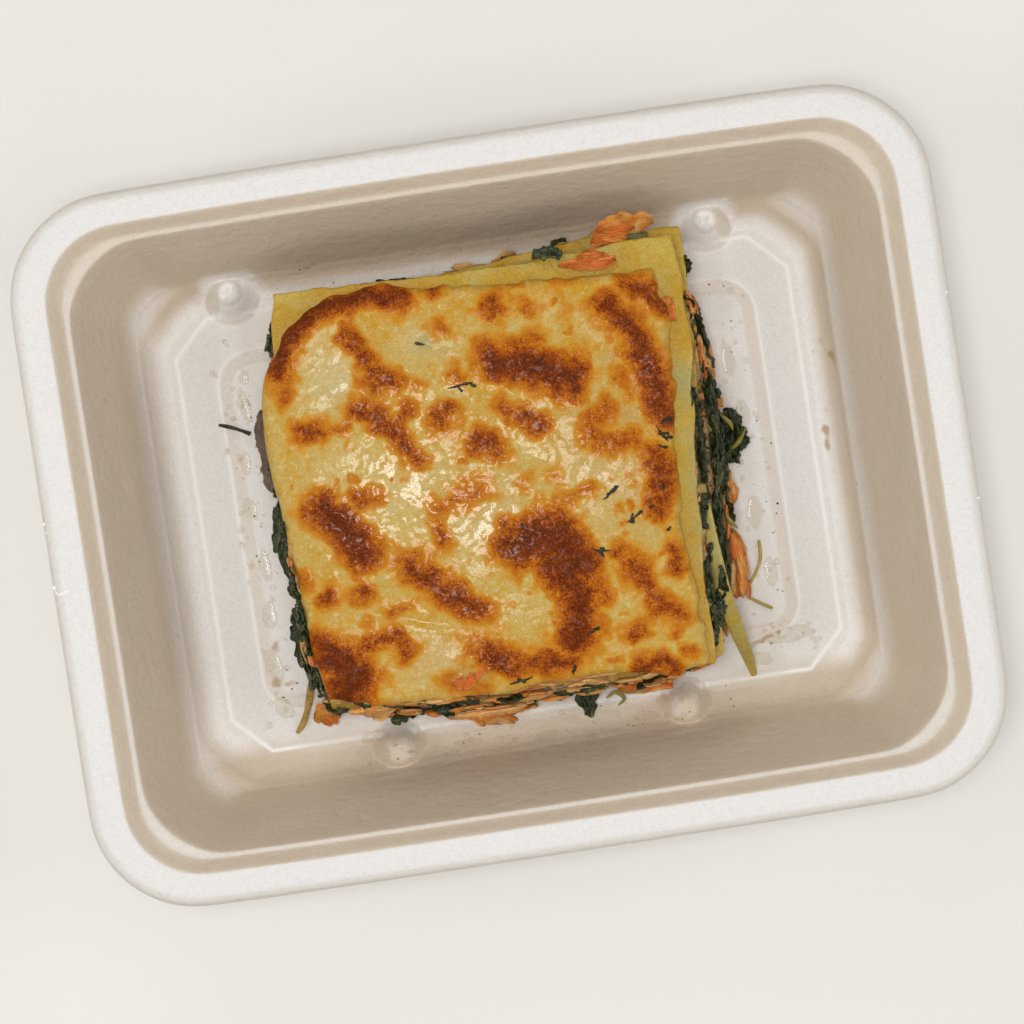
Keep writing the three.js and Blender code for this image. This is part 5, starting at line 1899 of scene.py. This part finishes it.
@dataclass
class SmallBits:
    """Stems in the spinach, a bit of fish baked into the cheese, crumbs on the tray and nubs on its rim."""

    fish: Rows = (
        (-17.6, -43.4, 41.4, 3.3, 2.2, 12), (-13.8, -42.0, 41.6, 2.0, 1.0, 30),
    )
    nubs: Rows = (
        (-112.4, 10.4, 0.6), (-112.2, 8.2, 0.4), (-112.3, -5.2, 0.7), (112.2, -17.5, 0.5), (112.0, 33.0, 0.4),
    )
    fold: tuple[tuple[float, float], ...] = (
        (-112.6, -5.2), (-111.8, -6.9), (-110.2, -6.8), (-108.6, -6.3), (-106.4, -5.7), (-104.8, -5.0),
    )
    crumbs: Rows = (
        (-64, -10, 5, 44, 26), (4, -60, 48, 4, 30), (64, -6, 5, 44, 24), (60, 42, 8, 10, 6),
        (-30, 62, 30, 3, 10),
    )
    stems: tuple[Rows, ...] = (
        ((57.2, 2.6, 10.6), (59.8, 4.4, 12.4), (62.6, 7.8, 9.4)),
        ((51.4, 10.4, 26.4), (52.6, 7.2, 25.8), (52.2, 4.2, 24.4)),
        ((56.0, 12.2, 13.6), (58.2, 9.6, 13.8), (58.8, 7.6, 12.6)),
        ((53.4, -13.2, 17.6), (54.6, -15.4, 16.8), (56.2, -17.2, 14.4)),
        ((16.8, -55.6, 7.2), (19.4, -54.4, 7.6), (21.4, -56.6, 5.2), (19.6, -58.2, 4.0)),
    )

    def build(self, kitchen: Kitchen, ground: "Ground") -> None:
        """Makes the bits.

        Args:
            kitchen: The finishes.
            ground: The tray.
        """
        bm = bmesh.new()
        for seed, (x, y, z, length, width, turn) in enumerate(self.fish, 970):
            c, s = cos_sin(turn)
            berth = Berth(np.array((x, y, z)), length * np.array((c, s, 0.0)), width * np.array((-s, c, 0.0)),
                          np.array((0.0, 0.0, 0.6)))
            SalmonShard(berth, seed, 0.95, 20, 8).add_to(bm)
        serve("baked_salmon_bits", bm, kitchen.salmon)
        bm = bmesh.new()
        for x, y, size in self.nubs:
            self.bit(bm, (x, y, ground.height(x, y, 50.0)), size, 0.35)
        route = [(x, y, min(ground.height(x, y, 50.0), 49.9) - 0.12) for x, y in self.fold]
        add_tube(bm, route, (0.3, 0.7, 0.6, 0.5, 0.6, 0.3), 0.6, 8, 20)
        serve("rim_nubs", bm, kitchen.pulp)
        random = np.random.default_rng(71)
        kinds = (("crumbs_of_crust", kitchen.stem, 0.6), ("crumbs_of_herb", kitchen.herbs, 0.1))
        for name, finish, share in kinds:
            bm = bmesh.new()
            for x, y, across, length, count in self.crumbs:
                for _ in range(round(share * count)):
                    px, py = x + random.uniform(-1, 1) * across, y + random.uniform(-1, 1) * length
                    self.bit(bm, (px, py, ground.height(px, py, 2.0)), random.uniform(0.14, 0.36), 0.7)
            serve(name, bm, finish)
        bm = bmesh.new()
        for route in self.stems:
            add_tube(bm, route, (0.4, 0.9, 1.2, 0.8, 0.3), 0.5, 8, 16, {"stalk": 0.9})
        serve("clump_stems", bm, kitchen.spinach)

    @staticmethod
    def bit(bm: BuildMesh, place: tuple[float, float, float], size: float, flat: float) -> None:
        """Adds one uneven grain.

        Args:
            bm: The mesh that it goes into.
            place: Where it lies.
            size: Its half length.
            flat: Its height as a share of its width.
        """
        part = bmesh.new()
        bmesh.ops.create_icosphere(part, subdivisions=2, radius=size)
        co = np.array([vert.co for vert in part.verts])
        uneven = co * (1 + 0.35 * noise(co + np.array(place), 0.9 * size, 3))[:, None] * (1.0, 0.75, flat)
        for vert, spot in zip(part.verts, uneven + np.array(place)):
            vert.co = spot
        poured(part, bm, {})


class Side(Enum):
    """The stack's sides, with the square's coordinates of a place on each from -1 to 1."""

    FRONT = (0, -1)
    RIGHT = (1, 0)
    BACK = (0, 1)
    LEFT = (-1, 0)


@dataclass
class SideDressing:
    """Bits of salmon and spinach that came out between the sheets and cling to the stack's sides."""

    stack: Stack
    salmon: tuple[tuple[Side, float, float, float, float, int], ...] = (
        (Side.FRONT, -1.0, -0.35, 8, 31, 22), (Side.FRONT, -0.45, 0.1, 10, 33, 24),
        (Side.FRONT, 0.1, 0.95, 8, 31, 26), (Side.RIGHT, -0.95, -0.2, 6, 24, 14),
        (Side.RIGHT, 0.2, 0.75, 6, 26, 12), (Side.LEFT, -1.0, -0.5, 6, 26, 8),
        (Side.LEFT, -0.4, 0.9, 6, 30, 12), (Side.BACK, -0.9, 0.9, 6, 18, 14),
    )
    spinach: tuple[tuple[Side, float, float, float, float, int], ...] = (
        (Side.FRONT, -1.0, -0.2, 5, 30, 22), (Side.FRONT, -0.2, 0.9, 5, 28, 24),
        (Side.RIGHT, -1.0, 0.0, 5, 30, 30), (Side.RIGHT, 0.0, 0.95, 5, 28, 26),
        (Side.LEFT, -1.0, 0.2, 5, 34, 44), (Side.LEFT, 0.2, 0.95, 5, 28, 16),
        (Side.BACK, -0.9, 0.9, 5, 18, 10), (Side.RIGHT, -0.1, 0.26, 12, 31, 50),
        (Side.RIGHT, -0.9, -0.1, 16, 31, 40),
    )

    def berth(
        self, random: np.random.Generator, row: tuple, size: tuple[float, float, float], out: float
    ) -> Berth:
        """Finds a place on a side.

        Args:
            random: Source of the place and the turn.
            row: Side, from, to, lowest and highest level.
            size: Length, height and depth of the bit.
            out: How far out of the side its middle is.

        Returns:
            The berth.
        """
        side, start, end, low, high = row[:5]
        level = random.uniform(low, high)
        outline = FILLING_OUTLINES[f"filling_{1 + int(level > 14) + int(level > 25)}"]
        t = random.uniform(start, end)
        nx, ny = side.value
        u = np.array([nx or t, nx or t + SIDE_STEP])
        v = np.array([ny or t, ny or t + SIDE_STEP])
        x, y = outline.place(u, v)
        way = np.array((x[1] - x[0], y[1] - y[0], 0.0))
        way /= np.linalg.norm(way)
        outward = np.array((abs(way[1]) * nx, abs(way[0]) * ny, 0.0))
        outward /= np.linalg.norm(outward)
        tilt = random.uniform(-0.5, 0.5)
        spot = np.array((x[0], y[0], level + self.stack.foot)) + out * outward
        return Berth.on_side(spot, way, outward, size, tilt)

    def build(self, kitchen: Kitchen) -> None:
        """Makes the bits.

        Args:
            kitchen: The finishes.
        """
        random = np.random.default_rng(811)
        fish = bmesh.new()
        for row in self.salmon:
            for _ in range(row[5]):
                size = (random.uniform(5, 12), random.uniform(3, 6), random.uniform(1.5, 3))
                berth = self.berth(random, row, size, random.uniform(0.2, 1.6))
                turned = berth.turned(random, 0.8, 0.4, 0.95, random.uniform(0.3, 0.7))
                tone = random.uniform(-0.1, 0.85)
                SalmonShard(turned, int(random.integers(9999)), tone, 16, 6).add_to(fish)
        serve("side_salmon", fish, kitchen.salmon)
        greens = bmesh.new()
        for row in self.spinach:
            for _ in range(row[5]):
                size = (random.uniform(5, 13), random.uniform(3, 7), random.uniform(2, 4))
                berth = self.berth(random, row, size, random.uniform(0.0, 1.6))
                turned = berth.turned(random, 1.2, 0.6, 0.95, 0.3)
                WiltedLeaf(turned, int(random.integers(9999)), 0.3, 20, 7, 0.7).add_to(greens)
        serve("side_spinach", greens, kitchen.spinach)


class Ground:
    """Finds the height of what lies under a place."""

    def __init__(self, piece: Piece) -> None:
        """Reads the piece that others lie on."""
        bpy.context.view_layer.update()
        self.tree = BVHTree.FromObject(piece, bpy.context.evaluated_depsgraph_get())

    def height(self, x: float, y: float, fallback: float = 0.0) -> float:
        """The height at a place, in millimetres."""
        hit = self.tree.ray_cast(Vector((x * MM, y * MM, 0.2)), Vector((0, 0, -1)))[0]
        return fallback if hit is None else hit.z / MM


@dataclass
class Sprigs:
    """Herb sprigs that were baked onto the cheese."""

    sprigs: Rows = (
        (-8, 28.4, 6.4, 4, 3), (24.4, -2.8, 5, 35, 4), (29, -9.6, 4.6, 30, 4), (20, -16.2, 4.4, -12, 4),
        (14.6, -35.6, 3.4, 25, 3), (38.8, 9.4, 5, -60, 4), (40, 12.5, 3.2, 20, 3), (38.5, 6.4, 2.6, -20, 2),
        (-4, -44.8, 6, 10, 3), (9, -44.2, 2.4, 70, 2), (37, -13.6, 1.4, 40, 1), (37, -3, 1.3, 90, 1),
        (33.5, -7.5, 1.1, 10, 1), (2, -7.5, 1.1, 120, 1), (12, 31.5, 2.2, 20, 2), (-16, 39.8, 2.6, -15, 2),
    )

    def build(self, kitchen: Kitchen, ground: Ground) -> None:
        """Makes the sprigs.

        Args:
            kitchen: The finishes.
            ground: The cheese that they lie on.
        """
        bm = bmesh.new()
        random = np.random.default_rng(51)
        for x, y, length, turn, twigs in self.sprigs:
            x, y = lifted(np.array((x, y)), 41.5)
            heading = math.radians(turn)
            for i in range(twigs):
                angle = heading + (0 if i == 0 else random.uniform(-1.1, 1.1))
                reach = length if i == 0 else min(random.uniform(0.2, 0.5) * length, 1.9)
                start = 0.0 if i == 0 else random.uniform(-0.45, 0.45) * length
                cx, cy = x + start * math.cos(heading), y + start * math.sin(heading)
                route = []
                for t in np.linspace(-0.5, 0.5, 6) + (0.5 if i else 0.0):
                    px = cx + reach * t * math.cos(angle) + random.uniform(-0.18, 0.18)
                    py = cy + reach * t * math.sin(angle) + random.uniform(-0.18, 0.18)
                    route.append((px, py, ground.height(px, py, 41.0) + 0.12))
                swell = (0.35, 0.85) if i == 0 else (0.45, 1.1)
                widths = (0.2, *random.uniform(*swell, 4), 0.15)
                add_tube(bm, route, widths, 0.4, 6, 14)
        serve("baked_herbs", bm, kitchen.herbs)


@dataclass
class CookingJuice:
    """Oil and juice that ran onto the tray: flat puddles and droplets."""

    puddles: Rows = (
        (-64, 33, 1.6, 4.2, 10), (-66, 18, 1.4, 3.2, 0), (-66.5, 6, 1.8, 3.0, 20), (-65, -9, 1.5, 4.5, 5),
        (-66, -22, 2.0, 3.4, -10), (-67, -34, 2.2, 4.6, 15), (-66, -46, 2.4, 3.0, 40), (-63, 40, 1.3, 2.0, 0),
        (61, 26, 1.8, 4.6, 0), (63, 12, 1.6, 3.4, 10), (62, -14, 2.0, 4.4, -5), (64, -30, 1.8, 3.6, 0),
        (66, -47, 7.0, 2.2, 8), (58, -52, 3.4, 1.8, -10), (-44, -57, 4.0, 1.6, 5), (-20, -62, 3.6, 1.2, 0),
        (0, -63, 3.2, 1.3, 10), (26, -62, 3.6, 1.4, -5), (12, -65, 1.6, 1.0, 0),
    )
    areas: Rows = (
        (-66.5, -6, 4.0, 46, 44), (64, 4, 4.5, 40, 30), (66, -47, 10, 4.5, 22), (-10, -61, 46, 3.4, 34),
        (-70, 44, 4, 8, 6),
    )

    def drop(self, bm: BuildMesh, ground: Ground, place: tuple[float, float], size: tuple[float, float],
             turn: float, height: float, seed: int, fine: int) -> None:
        """Adds one drop or puddle.

        Args:
            bm: The mesh that it goes into.
            ground: The tray that it lies on.
            place: Its middle.
            size: Its half length and half width.
            turn: Its turn in degrees.
            height: Its thickness.
            seed: Which of many outlines.
            fine: How fine its mesh is.
        """
        part = bmesh.new()
        bmesh.ops.create_icosphere(part, subdivisions=fine, radius=1)
        c, s = cos_sin(turn)
        co = np.array([vert.co for vert in part.verts])
        angle = np.arctan2(co[:, 1], co[:, 0])
        ring = np.stack([2 * np.cos(angle), 2 * np.sin(angle), np.full(len(co), 5.0 * seed)], 1)
        swell = 1 + 0.35 * fractal(ring, 1.6, 2, seed)
        a, b = co[:, 0] * size[0] * swell, co[:, 1] * size[1] * swell
        for vert, x, y, z in zip(part.verts, place[0] + a * c - b * s, place[1] + a * s + b * c, co[:, 2]):
            lift = height * max(z, 0.0) ** 0.6 if z > 0 else -0.03
            vert.co = (x, y, ground.height(x, y, 2.0) + lift)
        poured(part, bm, {})

    def build(self, kitchen: Kitchen, ground: Ground) -> None:
        """Makes the puddles and the drops.

        Args:
            kitchen: The finishes.
            ground: The tray that they lie on.
        """
        bm = bmesh.new()
        random = np.random.default_rng(61)
        for i, (x, y, across, length, turn) in enumerate(self.puddles):
            self.drop(bm, ground, (x, y), (across, length), turn, 0.22, i, 3)
        for x, y, across, length, count in self.areas:
            for i in range(count):
                spot = (x + random.uniform(-1, 1) * across, y + random.uniform(-1, 1) * length)
                size = random.uniform(0.25, 0.9)
                self.drop(bm, ground, spot, (size, size * random.uniform(0.7, 1.3)), random.uniform(0, 180),
                          random.uniform(0.15, 0.35), 50 + i, 2)
        serve("oil_and_juice", bm, kitchen.oil)


# The studio


@dataclass(frozen=True)
class Studio:
    """A plain pale floor, soft light from the upper left and the camera above the tray."""

    eye: tuple[float, float, float] = (-1.41, 10.0, 748.42)
    gaze: tuple[float, float, float] = (0.00193, -0.01975, -0.9998)
    up: tuple[float, float, float] = (0.15102, 0.98834, -0.01923)
    focal_pixels: float = 2887.0
    picture: int = 1024
    sensor: float = 36.0
    floor: Colour = srgb(228, 226, 221)
    lamps: tuple[tuple[str, tuple[float, float, float], float, float, Colour], ...] = (
        ("main_lamp", (-60.0, 8.0, 1040.0), 240.0, 4.7, (1.0, 0.985, 0.965)),
        ("back_lamp", (-180.0, 720.0, 680.0), 620.0, 1.5, (1.0, 0.985, 0.965)),
        ("left_lamp", (-780.0, 0.0, 620.0), 560.0, 2.6, (1.0, 0.99, 0.98)),
        ("right_lamp", (780.0, -60.0, 620.0), 560.0, 2.7, (1.0, 0.99, 0.98)),
        ("front_lamp", (60.0, -780.0, 620.0), 560.0, 1.5, (1.0, 0.99, 0.98)),
    )

    def camera(self) -> None:
        """Places the camera."""
        data = bpy.data.cameras.new("camera")
        data.sensor_width = self.sensor
        data.lens = self.focal_pixels / self.picture * self.sensor
        data.clip_start, data.clip_end = 0.01, 10.0
        eye = bpy.data.objects.new("camera", data)
        back = -Vector(self.gaze).normalized()
        right = Vector(self.up).cross(back).normalized()
        upright = back.cross(right)
        turn = Matrix((right, upright, back)).transposed().to_4x4()
        eye.matrix_world = Matrix.Translation(Vector(self.eye) * MM) @ turn
        bpy.context.scene.collection.objects.link(eye)
        bpy.context.scene.camera = eye

    def lamp(
        self, name: str, place: tuple[float, float, float], size: float, watts: float, tint: Colour
    ) -> None:
        """Hangs a square lamp that faces the tray."""
        data = bpy.data.lights.new(name, "AREA")
        data.size = size * MM
        data.energy = watts
        data.color = tint
        lamp = bpy.data.objects.new(name, data)
        lamp.location = Vector(place) * MM
        lamp.rotation_euler = (-Vector(place)).to_track_quat("-Z", "Y").to_euler()
        bpy.context.scene.collection.objects.link(lamp)

    def build(self) -> None:
        """Sets up the floor, the lights and the camera."""
        bm = bmesh.new()
        bmesh.ops.create_grid(bm, x_segments=1, y_segments=1, size=4.0)
        bmesh.ops.translate(bm, vec=(0, 0, -0.0002), verts=bm.verts[:])
        mesh = bpy.data.meshes.new("floor")
        bm.to_mesh(mesh)
        bm.free()
        recipe = Recipe("studio_floor")
        mesh.materials.append(recipe.dress(Base_Color=self.floor, Roughness=0.8))
        floor = bpy.data.objects.new("floor", mesh)
        bpy.context.scene.collection.objects.link(floor)
        world = bpy.data.worlds.new("studio")
        world.use_nodes = True
        world.node_tree.nodes["Background"].inputs["Color"].default_value = (0.96, 0.98, 1.0, 1.0)
        world.node_tree.nodes["Background"].inputs["Strength"].default_value = 0.2
        bpy.context.scene.world = world
        for name, place, size, watts, tint in self.lamps:
            self.lamp(name, place, size, watts, tint)
        self.camera()
        view = bpy.context.scene.view_settings
        view.view_transform = "Standard"
        view.look = "None"


def wet_pulp(places: Points) -> Array:
    """Says how wet the tray is: most beside the portion, where oil and juice ran out."""
    x, y = places[:, 0], places[:, 1]
    aside = np.maximum(np.abs(x - 0) - 57, np.abs(y - 2) - 56)
    return smoothstep(12.0, 1.0, aside + 3 * fractal(places, 11.0, 2, 77)) * (places[:, 2] < 8)


def main() -> None:
    """Builds the portion and the studio."""
    logging.basicConfig(level=logging.INFO, format="%(message)s")
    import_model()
    kitchen = Kitchen()
    stack = Stack()
    tray = MouldedTray().build(kitchen, wet_pulp)
    for number, index in enumerate((0, 2, 4, 6), 1):
        PastaSheet(f"pasta_sheet_{number}", index, stack).build(kitchen)
    for number, index in enumerate((1, 3, 5), 1):
        Filling(f"filling_{number}", index, stack).build(kitchen)
    cheese = BakedCheese(stack).build(kitchen)
    Sprigs().build(kitchen, Ground(cheese))
    LoosePieces().build(kitchen)
    SmallBits().build(kitchen, Ground(tray))
    SideDressing(stack).build(kitchen)
    CookingJuice().build(kitchen, Ground(tray))
    Studio().build()


if __name__ == "__main__":
    main()
